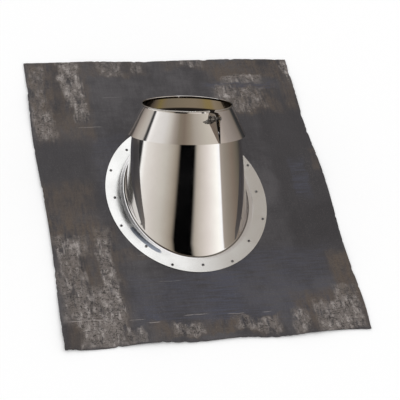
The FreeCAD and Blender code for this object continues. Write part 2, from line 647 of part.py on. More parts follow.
def make_washers():
    """One plain washer on the outside of each ear."""
    washers = []
    for name, level in (("head_washer", EAR_FACE), ("nut_washer", f"-{EAR_FACE} - Sizes.washer_thickness")):
        frame = f"{BOLT_FRAME} * placement(vector(0; 0; {level}); {NO_TURN})"
        disc = doc.addObject("Part::Cylinder", f"{name}_disc")
        bind(disc, Radius="Sizes.washer_diameter / 2", Height="Sizes.washer_thickness", Placement=frame)
        hole = doc.addObject("Part::Cylinder", f"{name}_hole")
        bind(hole, Radius="Sizes.bolt_diameter / 2 + Sizes.bolt_hole_gap", Height="Sizes.washer_thickness",
             Placement=frame)
        washer = doc.addObject("Part::Cut", name)
        washer.Base = disc
        washer.Tool = hole
        washers.append(washer)
    group = doc.addObject("Part::Compound", "clamp_washers")
    group.Label = "clamp_washers"
    group.Links = washers
    return group


def make_wing_nut():
    """A wing nut: a tapered hub and two wings that rise away from its seat."""
    body = new_body("wing_nut", f"{BOLT_FRAME} * placement(vector(0; 0; -{HEAD_SEAT}); "
                                f"rotation(vector(1; 0; 0); 180)) * placement(vector(0; 0; 0); "
                                f"rotation(vector(0; 0; 1); Sizes.wing_angle))")
    wings = new_sketch(body, "wing_side", "XZ_Plane")
    tip, top, width = "Sizes.wing_span / 2", "Sizes.wing_height", "Sizes.wing_width"
    root = "Sizes.bolt_diameter / 2"
    outline = [
        (root, "Sizes.nut_height * 0.25"),
        (f"{tip} - {width} * 0.3", f"{top} - {width}"),
        (tip, f"{top} - {width} * 0.4"),
        (f"{tip} - {width} * 0.15", top),
        (f"{tip} - {width} * 0.8", f"{top} - {width} * 0.1"),
        (root, "Sizes.nut_height * 0.85"),
    ]
    draw_polygon(wings, outline)
    draw_polygon(wings, [(f"-({across})", up) for across, up in outline])
    add_pad(body, "wings", wings, "Sizes.wing_thickness", symmetric=True)
    hub = new_sketch(body, "hub_section", "XZ_Plane")
    draw_polygon(hub, [
        ("0", "0"),
        ("Sizes.nut_base_diameter / 2", "0"),
        ("Sizes.nut_top_diameter / 2", "Sizes.nut_height"),
        ("0", "Sizes.nut_height"),
    ])
    add_revolution(body, "hub", hub)
    bore = new_sketch(body, "nut_bore", "XY_Plane")
    draw_circle(bore, "0", "0", "Sizes.bolt_diameter / 2 + Sizes.thread_gap")
    add_pocket(body, "nut_bored", bore, length="4 * Sizes.nut_height", symmetric=True)
    return body


def check_document():
    """Stop if any object failed to build."""
    doc.recompute()
    for item in doc.Objects:
        if "Invalid" in item.State or "Error" in item.State:
            raise RuntimeError(f"{item.Name} is {item.State}")


def export(pieces):
    """Write each piece's shape to its own STEP file, after checking it."""
    os.makedirs("parts", exist_ok=True)
    for piece in pieces:
        shape = piece.Shape
        if shape.isNull() or not shape.isValid():
            raise RuntimeError(f"{piece.Label} has no valid shape")
        print(f"{piece.Label}: {len(shape.Solids)} solid(s), {shape.Volume / 1000:.2f} cm3")
        shape.exportStep(f"parts/{piece.Label}.step")


lead_sheet = make_lead_sheet()
boot_cone = make_boot_cone()
flange_ring = make_flange_ring()
rivets = make_rivets()
storm_collar = make_storm_collar()
clamp_bolt = make_clamp_bolt()
clamp_washers = make_washers()
wing_nut = make_wing_nut()
check_document()
export([lead_sheet, boot_cone, flange_ring, rivets, storm_collar, clamp_bolt, clamp_washers, wing_nut])
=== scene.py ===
"""Looks for a pipe flashing boot: a lead sheet with a riveted steel cone and a clamped storm collar.

Every length is in metres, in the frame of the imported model: the lead sheet lies flat with its underside
at z = 0, +Y points up the roof slope, and the pipe axis leans up the slope by the roof pitch.
"""
from __future__ import annotations

import logging
import math
from dataclasses import astuple, dataclass, field
from enum import Enum

import bmesh
import bpy
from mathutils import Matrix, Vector, noise
from mathutils.bvhtree import BVHTree

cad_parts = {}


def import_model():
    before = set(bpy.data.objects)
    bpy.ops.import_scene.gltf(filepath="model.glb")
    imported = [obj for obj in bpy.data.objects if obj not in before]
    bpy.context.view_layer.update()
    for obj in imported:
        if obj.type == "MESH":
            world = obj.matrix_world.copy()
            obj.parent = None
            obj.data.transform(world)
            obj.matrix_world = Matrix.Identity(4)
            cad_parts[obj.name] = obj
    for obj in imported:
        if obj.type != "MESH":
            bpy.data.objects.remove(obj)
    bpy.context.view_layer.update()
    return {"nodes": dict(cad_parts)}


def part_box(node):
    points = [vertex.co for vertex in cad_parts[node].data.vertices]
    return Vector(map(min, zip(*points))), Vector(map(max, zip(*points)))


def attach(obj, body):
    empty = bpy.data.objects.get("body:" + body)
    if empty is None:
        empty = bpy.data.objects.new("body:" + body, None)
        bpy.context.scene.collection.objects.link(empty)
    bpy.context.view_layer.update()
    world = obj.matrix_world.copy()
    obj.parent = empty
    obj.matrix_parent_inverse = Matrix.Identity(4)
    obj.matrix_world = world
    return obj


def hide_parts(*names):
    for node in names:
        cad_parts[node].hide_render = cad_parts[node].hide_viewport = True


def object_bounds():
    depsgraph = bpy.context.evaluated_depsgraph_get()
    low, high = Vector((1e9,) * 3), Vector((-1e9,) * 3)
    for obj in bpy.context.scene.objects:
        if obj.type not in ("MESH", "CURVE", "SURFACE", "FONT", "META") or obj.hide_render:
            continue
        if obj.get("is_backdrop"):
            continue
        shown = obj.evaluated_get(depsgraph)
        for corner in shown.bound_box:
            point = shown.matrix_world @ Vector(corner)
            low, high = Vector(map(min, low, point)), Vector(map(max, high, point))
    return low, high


LOG = logging.getLogger("pipe_flashing_boot")
Colour = tuple[float, float, float]


# ---- Shader helpers ----
class Value:
    """One number socket of a node tree, with operators that add Math nodes."""

    def __init__(self, tree: "Tree", socket: bpy.types.NodeSocket) -> None:
        """Wrap a socket.

        Args:
            tree: the builder that owns the socket's node.
            socket: the output socket.
        """
        self.tree = tree
        self.socket = socket

    def _math(self, operation: str, *others: "Value | float") -> "Value":
        """Add one Math node on this value and the others."""
        return self.tree.value("ShaderNodeMath", {"operation": operation}, {
            index: item for index, item in enumerate((self, *others))})

    def __add__(self, other: "Value | float") -> "Value":
        """self + other."""
        return self._math("ADD", other)

    def __sub__(self, other: "Value | float") -> "Value":
        """self - other."""
        return self._math("SUBTRACT", other)

    def __rsub__(self, other: float) -> "Value":
        """other - self."""
        return self.tree.value("ShaderNodeMath", {"operation": "SUBTRACT"}, {0: other, 1: self})

    def __mul__(self, other: "Value | float") -> "Value":
        """self * other."""
        return self._math("MULTIPLY", other)

    def __truediv__(self, other: "Value | float") -> "Value":
        """self / other."""
        return self._math("DIVIDE", other)

    def clamp(self) -> "Value":
        """Held between 0 and 1."""
        return self.tree.value("ShaderNodeMath", {"operation": "ADD", "use_clamp": True}, {0: self, 1: 0.0})

    def larger(self, other: "Value | float") -> "Value":
        """The larger of the two."""
        return self._math("MAXIMUM", other)

    def size(self) -> "Value":
        """The absolute value."""
        return self._math("ABSOLUTE")

    def angle_from(self, other: "Value") -> "Value":
        """The angle whose tangent is self / other, in radians."""
        return self._math("ARCTAN2", other)

    def step(self, low: float, high: float) -> "Value":
        """A smooth rise from 0 at low to 1 at high; low may be above high.

        Args:
            low: where the result is 0.
            high: where the result is 1.

        Returns:
            The eased value.
        """
        return self.tree.value("ShaderNodeMapRange", {"interpolation_type": "SMOOTHSTEP"}, {
            "Value": self, "From Min": low, "From Max": high, "To Min": 0.0, "To Max": 1.0})


class Tree:
    """Builds the nodes of one material or world."""

    def __init__(self, tree: bpy.types.NodeTree) -> None:
        """Start on an empty tree.

        Args:
            tree: the node tree, whose nodes are cleared.
        """
        self.tree = tree
        tree.nodes.clear()

    def node(self, kind: str, settings: dict | None = None, inputs: dict | None = None) -> bpy.types.Node:
        """Add one node.

        Args:
            kind: the node's type.
            settings: attributes that are set first; "stops" fills a colour ramp.
            inputs: values or links by socket name or number.

        Returns:
            The new node.
        """
        node = self.tree.nodes.new(kind)
        for name, value in (settings or {}).items():
            if name == "stops":
                self._fill_ramp(node.color_ramp, value)
            else:
                setattr(node, name, value)
        for key, value in (inputs or {}).items():
            socket = node.inputs[key]
            if isinstance(value, Value):
                self.tree.links.new(value.socket, socket)
            elif isinstance(value, bpy.types.NodeSocket):
                self.tree.links.new(value, socket)
            elif isinstance(value, tuple) and len(value) == 3 and socket.type == "RGBA":
                socket.default_value = (*value, 1.0)
            else:
                socket.default_value = value
        return node

    @staticmethod
    def _fill_ramp(ramp: bpy.types.ColorRamp, stops: list[tuple[float, float | Colour]]) -> None:
        """Give a colour ramp its stops.

        Args:
            ramp: the new node's ramp.
            stops: each stop's place from 0 to 1, and its grey or colour.
        """
        while len(ramp.elements) < len(stops):
            ramp.elements.new(0.5)
        for element, (place, tone) in zip(ramp.elements, stops):
            element.position = place
            colour = tone if isinstance(tone, tuple) else (tone, tone, tone)
            element.color = (*colour, 1.0)

    def value(self, kind: str, settings: dict | None = None, inputs: dict | None = None,
              output: str | int = 0) -> Value:
        """Add a node and wrap one of its outputs as a number.

        Args:
            kind: the node's type.
            settings: attributes that are set first.
            inputs: values or links by socket name or number.
            output: the output socket's name or number.

        Returns:
            The wrapped output.
        """
        return Value(self, self.node(kind, settings, inputs).outputs[output])

    def place(self) -> bpy.types.NodeSocket:
        """Object coordinates, in metres."""
        return self.node("ShaderNodeTexCoord").outputs["Object"]

    def axes(self, vector: bpy.types.NodeSocket) -> tuple[Value, Value, Value]:
        """The three components of a vector."""
        parts = self.node("ShaderNodeSeparateXYZ", inputs={0: vector}).outputs
        return Value(self, parts[0]), Value(self, parts[1]), Value(self, parts[2])

    def along(self, vector: bpy.types.NodeSocket, axis: object) -> Value:
        """How far a vector points along an axis, which is a tuple or a socket."""
        return self.value("ShaderNodeVectorMath", {"operation": "DOT_PRODUCT"}, {0: vector, 1: axis}, "Value")

    def mapped(self, vector: bpy.types.NodeSocket, centre: tuple, turn: float = 0.0,
               scale: tuple = (1.0, 1.0, 1.0)) -> bpy.types.NodeSocket:
        """Coordinates centred on a place, turned and then divided by a scale.

        Args:
            vector: the coordinates.
            centre: the new origin.
            turn: the turn about Z, in radians.
            scale: the length that becomes 1 along each axis.

        Returns:
            The new coordinates.
        """
        return self.node("ShaderNodeMapping", {"vector_type": "TEXTURE"}, {
            "Vector": vector, "Location": centre, "Rotation": (0.0, 0.0, turn), "Scale": scale,
        }).outputs[0]

    def noise(self, vector: bpy.types.NodeSocket, scale: float, detail: float = 4.0,
              rough: float = 0.55) -> Value:
        """Fractal noise, about 0.5 on average."""
        return self.value("ShaderNodeTexNoise", {"noise_dimensions": "3D"}, {
            "Vector": vector, "Scale": scale, "Detail": detail, "Roughness": rough})

    def grain(self, vector: bpy.types.NodeSocket, grain: "Grain") -> Value:
        """One layer of noise at some coordinates."""
        return self.noise(self.mapped(vector, grain.start, 0.0, grain.lump), 1.0, grain.detail, grain.rough)

    def blend(self, amount: Value | float, low: object, high: object) -> bpy.types.NodeSocket:
        """Mix two colours.

        Args:
            amount: 0 gives low and 1 gives high.
            low: a colour or a colour socket.
            high: a colour or a colour socket.

        Returns:
            The mixed colour.
        """
        return self.node("ShaderNodeMix", {"data_type": "RGBA"}, {
            0: amount, 6: low, 7: high}).outputs[2]

    def bump(self, height: Value, depth: float, strength: float = 1.0) -> bpy.types.NodeSocket:
        """A normal bent by a height map.

        Args:
            height: the height, where 1 is one depth.
            depth: the depth in metres.
            strength: how much of it shows.

        Returns:
            The normal.
        """
        return self.node("ShaderNodeBump", inputs={
            "Strength": strength, "Distance": depth, "Height": height}).outputs[0]


# ---- Finishes ----
@dataclass(frozen=True)
class Grain:
    """One layer of noise: how long its lumps are along X, Y and Z, and where it starts, in metres."""

    lump: tuple[float, float, float]
    start: tuple[float, float, float] = (0.0, 0.0, 0.0)
    detail: float = 4.0
    rough: float = 0.60


@dataclass(frozen=True)
class Stain:
    """One ragged patch on the lead: its centre and half size in metres, and its strength."""

    across: float
    along: float
    half_wide: float
    half_long: float
    strength: float = 1.0


class StainKind(Enum):
    """What a patch on the lead is made of, in the order that the patches lie on each other."""

    DARK_HANDLING = "dark handling marks"
    BLUE_SHEEN = "blue sheen"
    BROWN_OXIDE = "brown oxide"
    PALE_OXIDE = "pale oxide"


def patches(*rows: tuple[float, ...]) -> tuple[Stain, ...]:
    """Stains from rows of centre across, centre along, half width, half length and strength."""
    return tuple(Stain(*row) for row in rows)


@dataclass(frozen=True)
class Scratch:
    """One bright scratch that runs across the lead, from one side to the other."""

    start: float
    end: float
    along: float
    strength: float = 1.0


@dataclass(frozen=True)
class WeatheredLead:
    """Dark blue-grey rolled lead with brown and pale oxide, scratches, and painted shade on its cut edges."""

    dark: Colour = (0.058, 0.055, 0.060)
    light: Colour = (0.108, 0.103, 0.110)
    chalk: Colour = (0.46, 0.425, 0.41)
    # dark lines in the oxide, and the painted shade on the cut edges
    soot_and_edge_shade: Colour = (0.026, 0.023, 0.023)
    tones: dict[StainKind, Colour] = field(default_factory=lambda: {
        StainKind.DARK_HANDLING: (0.048, 0.045, 0.049),
        StainKind.BLUE_SHEEN: (0.082, 0.086, 0.118),
        StainKind.BROWN_OXIDE: (0.128, 0.101, 0.082),
        StainKind.PALE_OXIDE: (0.240, 0.214, 0.200)})
    stains: dict[StainKind, tuple[Stain, ...]] = field(default_factory=lambda: {
        StainKind.DARK_HANDLING: patches(
            (0.300, 0.060, 0.070, 0.250, 0.75), (-0.285, 0.060, 0.070, 0.110, 0.60),
            (-0.328, -0.405, 0.026, 0.035, 0.90), (0.150, 0.200, 0.090, 0.070, 0.45),
            (0.250, -0.170, 0.110, 0.100, 0.40), (-0.276, 0.340, 0.012, 0.110, 0.80),
            (-0.277, -0.280, 0.008, 0.120, 0.80)),
        StainKind.BLUE_SHEEN: patches(
            (0.200, 0.340, 0.090, 0.008, 0.90), (0.050, -0.312, 0.007, 0.016, 1.00),
            (-0.146, -0.350, 0.012, 0.022, 0.70), (0.140, -0.290, 0.150, 0.100, 0.60),
            (-0.060, -0.320, 0.120, 0.070, 0.60), (-0.170, 0.090, 0.040, 0.090, 0.40),
            (0.290, 0.020, 0.020, 0.060, 0.70)),
        StainKind.BROWN_OXIDE: patches(
            (-0.315, 0.305, 0.030, 0.135, 0.95), (-0.240, 0.310, 0.042, 0.135, 0.75),
            (-0.290, -0.060, 0.060, 0.090, 0.75), (-0.265, -0.260, 0.070, 0.160, 0.90),
            (0.240, 0.395, 0.110, 0.034, 0.90), (0.215, 0.290, 0.075, 0.048, 1.00),
            (0.330, 0.330, 0.020, 0.080, 0.70), (0.322, -0.270, 0.026, 0.060, 1.00),
            (0.270, -0.375, 0.085, 0.055, 0.90), (0.340, 0.080, 0.010, 0.040, 0.60),
            (-0.115, 0.405, 0.075, 0.028, 0.60), (0.065, 0.412, 0.060, 0.020, 0.55),
            (-0.060, -0.402, 0.090, 0.022, 0.80), (0.080, -0.398, 0.065, 0.022, 0.80),
            (-0.170, -0.190, 0.050, 0.016, 0.50)),
        StainKind.PALE_OXIDE: patches(
            (-0.243, 0.400, 0.027, 0.040, 0.95), (-0.236, 0.330, 0.025, 0.050, 0.90),
            (-0.225, 0.255, 0.018, 0.040, 0.75), (-0.318, 0.225, 0.026, 0.048, 0.75),
            (-0.325, 0.350, 0.020, 0.070, 0.30), (0.215, 0.361, 0.052, 0.014, 0.65),
            (0.196, 0.292, 0.062, 0.040, 0.50), (0.160, 0.325, 0.022, 0.018, 0.70),
            (0.343, 0.385, 0.008, 0.040, 1.00), (-0.228, -0.235, 0.018, 0.115, 0.80),
            (-0.312, -0.250, 0.030, 0.110, 0.55), (-0.262, -0.330, 0.052, 0.060, 0.60),
            (-0.262, -0.395, 0.048, 0.032, 0.90), (-0.300, -0.150, 0.040, 0.030, 0.40),
            (0.285, -0.388, 0.052, 0.042, 0.95), (0.312, -0.330, 0.028, 0.024, 0.45),
            (0.192, -0.396, 0.018, 0.030, 0.60), (-0.186, -0.400, 0.018, 0.016, 0.60),
            (-0.070, -0.404, 0.036, 0.016, 0.70), (0.080, -0.396, 0.042, 0.018, 0.60),
            (0.130, -0.398, 0.012, 0.020, 0.40), (-0.130, 0.405, 0.030, 0.024, 0.50),
            (-0.060, 0.410, 0.012, 0.020, 0.40), (0.085, 0.415, 0.030, 0.012, 0.40))})
    scratches: tuple[Scratch, ...] = (
        Scratch(-0.345, -0.232, -0.3585, 1.0), Scratch(-0.202, -0.164, -0.3650, 0.5),
        Scratch(-0.160, -0.130, -0.3745, 0.9), Scratch(-0.078, -0.018, -0.3610, 0.8),
        Scratch(0.022, 0.066, -0.3635, 0.6), Scratch(0.104, 0.128, -0.3640, 0.6),
        Scratch(-0.246, -0.172, 0.2060, 0.6), Scratch(-0.155, -0.100, -0.1900, 0.4),
        Scratch(-0.120, -0.060, -0.2660, 0.3), Scratch(-0.170, -0.110, 0.3050, 0.3))
    rolled: Grain = Grain((0.006, 0.050, 1.0), rough=0.62)
    ripple: Grain = Grain((0.060, 0.005, 1.0), (0.2, 0.0, 0.0), detail=3.0)
    blotch: Grain = Grain((0.018, 0.044, 1.0), (0.0, 0.3, 0.0), detail=5.0)
    bloom: Grain = Grain((0.012, 0.028, 1.0), (0.5, 0.0, 0.0), detail=5.0)
    pucker: Grain = Grain((0.026, 0.019, 1.0), detail=3.0, rough=0.50)
    crease: Grain = Grain((0.034, 0.008, 1.0), (0.1, 0.0, 0.0), detail=3.0)
    waver: Grain = Grain((0.035, 1.0, 1.0), detail=2.0, rough=0.55)
    waver_reach: float = 0.008
    scratch_half: float = 0.0013
    bump_depth: float = 0.0018

    def material(self) -> bpy.types.Material:
        """The lead's material.

        Returns:
            The new material.
        """
        material, tree = new_material("weathered_lead")
        place = tree.place()
        rolled, ripple = tree.grain(place, self.rolled), tree.grain(place, self.ripple)
        clouds = tree.noise(place, 8.0, 6.0, 0.62)
        blotch, bloom = tree.grain(place, self.blotch), tree.grain(place, self.bloom)
        fleck = tree.noise(place, 90.0, 4.0, 0.60)
        speckle = tree.noise(place, 420.0, 2.0, 0.60)
        mixed = clouds * 0.76 + rolled * 0.14 + ripple * 0.10
        colour = tree.blend(mixed.step(0.40, 0.62), self.dark, self.light)
        warp = self._warped(tree, place)
        masks = {kind: self._mask(tree, warp, self.stains[kind]) for kind in StainKind}
        grains = {
            StainKind.DARK_HANDLING: clouds.step(0.25, 0.55) * 0.9,
            StainKind.BLUE_SHEEN: ripple.step(0.30, 0.65) * 0.9,
            StainKind.BROWN_OXIDE: (clouds * 0.3 + blotch * 0.4 + rolled * 0.3).step(0.38, 0.60),
            StainKind.PALE_OXIDE: (blotch * 0.65 + rolled * 0.35).step(0.37, 0.54)}
        for kind in StainKind:
            colour = tree.blend((masks[kind] * grains[kind]).clamp(), colour, self.tones[kind])
        chalky = masks[StainKind.PALE_OXIDE] * grains[StainKind.PALE_OXIDE]
        colour = tree.blend(chalky * bloom.step(0.47, 0.66) * 1.05, colour, self.chalk)
        colour = tree.blend(chalky * fleck.step(0.56, 0.72) * 0.55, colour, self.chalk)
        worn = (masks[StainKind.PALE_OXIDE] + masks[StainKind.BROWN_OXIDE] * 0.35 + 0.06).clamp()
        wrinkle = self._wrinkles(tree, warp, place)
        colour = tree.blend((wrinkle * worn * 0.85).clamp(), colour, self.soot_and_edge_shade)
        colour = tree.blend(speckle.step(0.52, 0.75) * 0.12, colour, self.chalk)
        scratch = self._scratch_mask(tree, place)
        colour = tree.blend((scratch * fleck.step(0.30, 0.50)).clamp(), colour, self.chalk)
        # painted shade: faces that turn away from up, the sheet's cut edges, are darkened
        colour = tree.blend(self._edge_shade(tree), colour, self.soot_and_edge_shade)
        rough = clouds.step(0.3, 0.7) * 0.16 + speckle * 0.10 + chalky * 0.15 + 0.38
        height = clouds * 0.55 + rolled * 0.12 + ripple * 0.10 + blotch * 0.22 - wrinkle * 0.04
        tree.node("ShaderNodeOutputMaterial", inputs={0: tree.node("ShaderNodeBsdfPrincipled", inputs={
            "Base Color": colour, "Roughness": rough, "Metallic": 0.55,
            "Normal": tree.bump(height, self.bump_depth, 0.9)}).outputs[0]})
        return material

    @staticmethod
    def _warped(tree: Tree, place: bpy.types.NodeSocket) -> bpy.types.NodeSocket:
        """Coordinates pushed about by coarse and fine noise, for ragged borders.

        Args:
            tree: the material's nodes.
            place: object coordinates.

        Returns:
            The moved coordinates.
        """
        warp = place
        for scale, push in ((14.0, (0.040, 0.060, 0.0)), (60.0, (0.011, 0.022, 0.0))):
            wobble = tree.node("ShaderNodeTexNoise", {"noise_dimensions": "3D"}, {
                "Vector": place, "Scale": scale, "Detail": 3.0})
            centred = tree.node("ShaderNodeVectorMath", {"operation": "SUBTRACT"}, {
                0: wobble.outputs["Color"], 1: (0.5, 0.5, 0.5)}).outputs[0]
            warp = tree.node("ShaderNodeVectorMath", {"operation": "MULTIPLY_ADD"}, {
                0: centred, 1: push, 2: warp}).outputs[0]
        return warp

    @staticmethod
    def _mask(tree: Tree, warp: bpy.types.NodeSocket, stains: tuple[Stain, ...]) -> Value:
        """The summed mask of several stains, each a box with soft ragged sides.

        Args:
            tree: the material's nodes.
            warp: the moved coordinates.
            stains: the stains of one kind.

        Returns:
            The mask, from 0 to 1.
        """
        total: Value | float = 0.0
        for stain in stains:
            local = tree.mapped(warp, (stain.across, stain.along, 0.0), 0.0,
                                (stain.half_wide, stain.half_long, 1.0))
            across, along, _ = tree.axes(tree.node(
                "ShaderNodeVectorMath", {"operation": "ABSOLUTE"}, {0: local}).outputs[0])
            total = across.larger(along).step(1.25, 0.75) * stain.strength + total
        return total.clamp()

    def _wrinkles(self, tree: Tree, warp: bpy.types.NodeSocket, place: bpy.types.NodeSocket) -> Value:
        """Thin dark contour lines, where the lead has puckered.

        Args:
            tree: the material's nodes.
            warp: the moved coordinates.
            place: object coordinates.

        Returns:
            The mask, from 0 to 1.
        """
        pucker, crease = tree.grain(warp, self.pucker), tree.grain(place, self.crease)
        lines = (pucker - 0.47).size().step(0.014, 0.003) + (pucker - 0.58).size().step(0.010, 0.002)
        return (lines + (crease - 0.54).size().step(0.018, 0.003)).clamp()

    def _scratch_mask(self, tree: Tree, place: bpy.types.NodeSocket) -> Value:
        """The bright scratches across the sheet.

        Args:
            tree: the material's nodes.
            place: object coordinates.

        Returns:
            The mask, from 0 to 1.
        """
        across, along, _ = tree.axes(place)
        wavering = along + (tree.grain(place, self.waver) - 0.5) * self.waver_reach
        total: Value | float = 0.0
        for scratch in self.scratches:
            middle, half = (scratch.start + scratch.end) / 2.0, (scratch.end - scratch.start) / 2.0
            line = (wavering - scratch.along).size().step(self.scratch_half, self.scratch_half - 0.0010)
            within = (across - middle).size().step(half, half * 0.6)
            total = line * within * (scratch.strength * 0.7) + total
        return total.clamp()

    @staticmethod
    def _edge_shade(tree: Tree) -> Value:
        """Painted shade with dark oxide on the sheet's cut edges, from the way that its surface faces."""
        _, _, upward = tree.axes(tree.node("ShaderNodeNewGeometry").outputs["Normal"])
        return upward.step(0.93, 0.60) * 0.9


def new_material(name: str) -> tuple[bpy.types.Material, Tree]:
    """Make an empty node material.

    Args:
        name: the material's name.

    Returns:
        The material and the builder of its nodes.
    """
    material = bpy.data.materials.new(name)
    material.use_nodes = True
    return material, Tree(material.node_tree)


@dataclass(frozen=True)
class Steel:
    """Bare stainless steel, from a mirror polish to a matt mill finish."""

    name: str
    colour: Colour
    shade: Colour
    rough: float
    rough_spread: float
    grain_length: float
    grain_depth: float

    def material(self) -> bpy.types.Material:
        """The steel's material.

        Returns:
            The new material.
        """
        material, tree = new_material(self.name)
        place = tree.place()
        haze = tree.noise(place, 14.0, 4.0, 0.6)
        grain = tree.grain(place, Grain((self.grain_length,) * 3, rough=0.65))
        rough = haze.step(0.35, 0.7) * self.rough_spread + grain * (0.5 * self.rough_spread) + self.rough
        colour = tree.blend(haze.step(0.35, 0.65), self.colour, self.shade)
        colour, rough = self.marks(tree, place, colour, rough)
        height = grain * 0.7 + haze * 0.3
        tree.node("ShaderNodeOutputMaterial", inputs={0: tree.node("ShaderNodeBsdfPrincipled", inputs={
            "Base Color": colour, "Roughness": rough, "Metallic": 1.0,
            "Normal": tree.bump(height, self.grain_depth, 1.0)}).outputs[0]})
        return material

    def marks(self, tree: Tree, place: bpy.types.NodeSocket, colour: bpy.types.NodeSocket,
              rough: Value) -> tuple[bpy.types.NodeSocket, Value]:
        """What use has left on the steel; plain steel has none.

        Args:
            tree: the material's nodes.
            place: object coordinates.
            colour: the clean colour.
            rough: the clean roughness.

        Returns:
            The marked colour and roughness.
        """
        return colour, rough


@dataclass(frozen=True)
class ConeSteel(Steel):
    """Mirror steel with painted shade in the crease of its foot and a duller flange."""

    flange_level: float = 0.003
    flange_rough: float = 0.10
    # the colour of the painted shade in the crease
    crease_shade: Colour = (0.055, 0.050, 0.044)

    def marks(self, tree: Tree, place: bpy.types.NodeSocket, colour: bpy.types.NodeSocket,
              rough: Value) -> tuple[bpy.types.NodeSocket, Value]:
        """Painted shade in the crease just above the flange, and the flange's softer polish.

        Args:
            tree: the material's nodes.
            place: object coordinates.
            colour: the clean colour.
            rough: the clean roughness.

        Returns:
            The marked colour and roughness.
        """
        _, _, upward = tree.axes(place)
        above = upward - self.flange_level
        # painted shade: a dark line in the crease where the flare meets the flange
        crease = above.step(0.0001, 0.0005) * above.step(0.0021, 0.0012)
        marked = tree.blend(crease * 0.85, colour, self.crease_shade)
        return marked, rough + above.step(0.0004, 0.0) * self.flange_rough


@dataclass(frozen=True)
class RingSteel(Steel):
    """Mill steel with a painted reflection of the dark cone, a blue-grey stretch along the ring's inner edge.
    """

    # the colour of the painted reflection of the cone's dark side
    cone_reflection: Colour = (0.175, 0.200, 0.250)
    centre: tuple[float, float, float] = (-0.1272, -0.1478, 0.0)
    half: tuple[float, float, float] = (0.050, 0.0105, 1.0)
    turn: float = math.radians(-53.0)

    def marks(self, tree: Tree, place: bpy.types.NodeSocket, colour: bpy.types.NodeSocket,
              rough: Value) -> tuple[bpy.types.NodeSocket, Value]:
        """The painted reflection of the cone, with a crisp border.

        Args:
            tree: the material's nodes.
            place: object coordinates.
            colour: the clean colour.
            rough: the clean roughness.

        Returns:
            The marked colour and roughness.
        """
        # painted reflection: the cone's dark side as the ring's inner edge would mirror it
        across, along, _ = tree.axes(tree.mapped(place, self.centre, self.turn, self.half))
        reach = across * across + along * along
        return tree.blend(reach.step(1.10, 0.80) * 0.9, colour, self.cone_reflection), rough


@dataclass(frozen=True)
class CollarSteel(Steel):
    """Mirror steel outside, with painted shade on the faces towards the seam, and inside a straw-tinted wall
    with painted reflections, highlights and shadow.
    """

    origin: tuple[float, float, float] = (0.0, 0.0, 0.0)
    along: tuple[float, float, float] = (0.0, 0.0, 1.0)
    seam: tuple[float, float, float] = (0.0, -1.0, 0.0)
    neck_level: float = 0.2073
    bead_level: float = 0.2104
    deep_shadow_level: float = 0.1805
    inside_rough: float = 0.08
    # the colour of the painted shade deep inside the collar and on the faces towards the seam
    edge: Colour = (0.035, 0.031, 0.028)
    # the inside wall: painted reflections, highlights and shade over a straw tint, darker in the neck
    neck_inside: Colour = (0.24, 0.20, 0.16)
    straw_tint_and_reflections: tuple[tuple[float, Colour], ...] = (
        (-0.85, (0.05, 0.04, 0.03)), (-0.66, (0.13, 0.10, 0.08)), (-0.54, (0.22, 0.17, 0.13)),
        (-0.45, (0.38, 0.30, 0.19)), (-0.36, (0.52, 0.42, 0.18)), (-0.27, (0.52, 0.42, 0.28)),
        (-0.19, (0.50, 0.43, 0.34)), (0.18, (0.58, 0.49, 0.38)), (0.40, (0.62, 0.52, 0.40)),
        (0.53, (0.60, 0.49, 0.35)), (0.62, (0.64, 0.51, 0.25)), (0.70, (0.66, 0.51, 0.24)),
        (0.77, (0.66, 0.55, 0.42)), (0.86, (0.56, 0.46, 0.35)), (0.93, (0.44, 0.36, 0.28)),
        (0.98, (0.12, 0.09, 0.07)))

    def marks(self, tree: Tree, place: bpy.types.NodeSocket, colour: bpy.types.NodeSocket,
              rough: Value) -> tuple[bpy.types.NodeSocket, Value]:
        """Painted shade on the faces towards the seam, and the inside wall's painted reflections, highlights
        and shadow, told apart by the way that the surface faces.

        Args:
            tree: the material's nodes.
            place: object coordinates.
            colour: the clean colour.
            rough: the clean roughness.

        Returns:
            The marked colour and roughness.
        """
        normal = tree.node("ShaderNodeNewGeometry").outputs["Normal"]
        offset = tree.node("ShaderNodeVectorMath", {"operation": "SUBTRACT"}, {
            0: place, 1: self.origin}).outputs[0]
        level = tree.along(offset, self.along)
        axial = tree.node("ShaderNodeVectorMath", {"operation": "SCALE"}, {
            0: tree.node("ShaderNodeCombineXYZ", inputs=dict(enumerate(self.along))).outputs[0],
            "Scale": level}).outputs[0]
        radial = tree.node("ShaderNodeVectorMath", {"operation": "NORMALIZE"}, {0: tree.node(
            "ShaderNodeVectorMath", {"operation": "SUBTRACT"}, {0: offset, 1: axial}).outputs[0]}).outputs[0]
        across, _, _ = tree.axes(radial)
        inward = tree.along(normal, radial).step(-0.30, -0.50)
        inside = inward * level.step(self.bead_level, self.bead_level - 0.0005)
        # painted reflections and highlights, by bearing round the inside wall
        stops = [((side + 1.0) / 2.0, tone) for side, tone in self.straw_tint_and_reflections]
        wall = tree.node("ShaderNodeValToRGB", {"stops": stops}, {0: across * 0.5 + 0.5}).outputs[0]
        in_neck = level.step(self.neck_level - 0.001, self.neck_level + 0.001)
        wall = tree.blend(in_neck, wall, self.neck_inside)
        # painted shadow deep inside, below the front rim
        wall = tree.blend(level.step(self.deep_shadow_level + 0.003, self.deep_shadow_level - 0.001), wall, self.edge)
        colour = tree.blend(inside, colour, wall)
        below_neck = level.step(self.neck_level, self.neck_level - 0.001)
        # painted shade on the faces towards the seam
        cut = (tree.along(normal, self.seam).step(0.35, 0.50)
               * tree.along(normal, self.along).step(0.40, 0.30) * below_neck * (1.0 - inside))
        return tree.blend(cut * 0.92, colour, self.edge), rough + inside * self.inside_rough


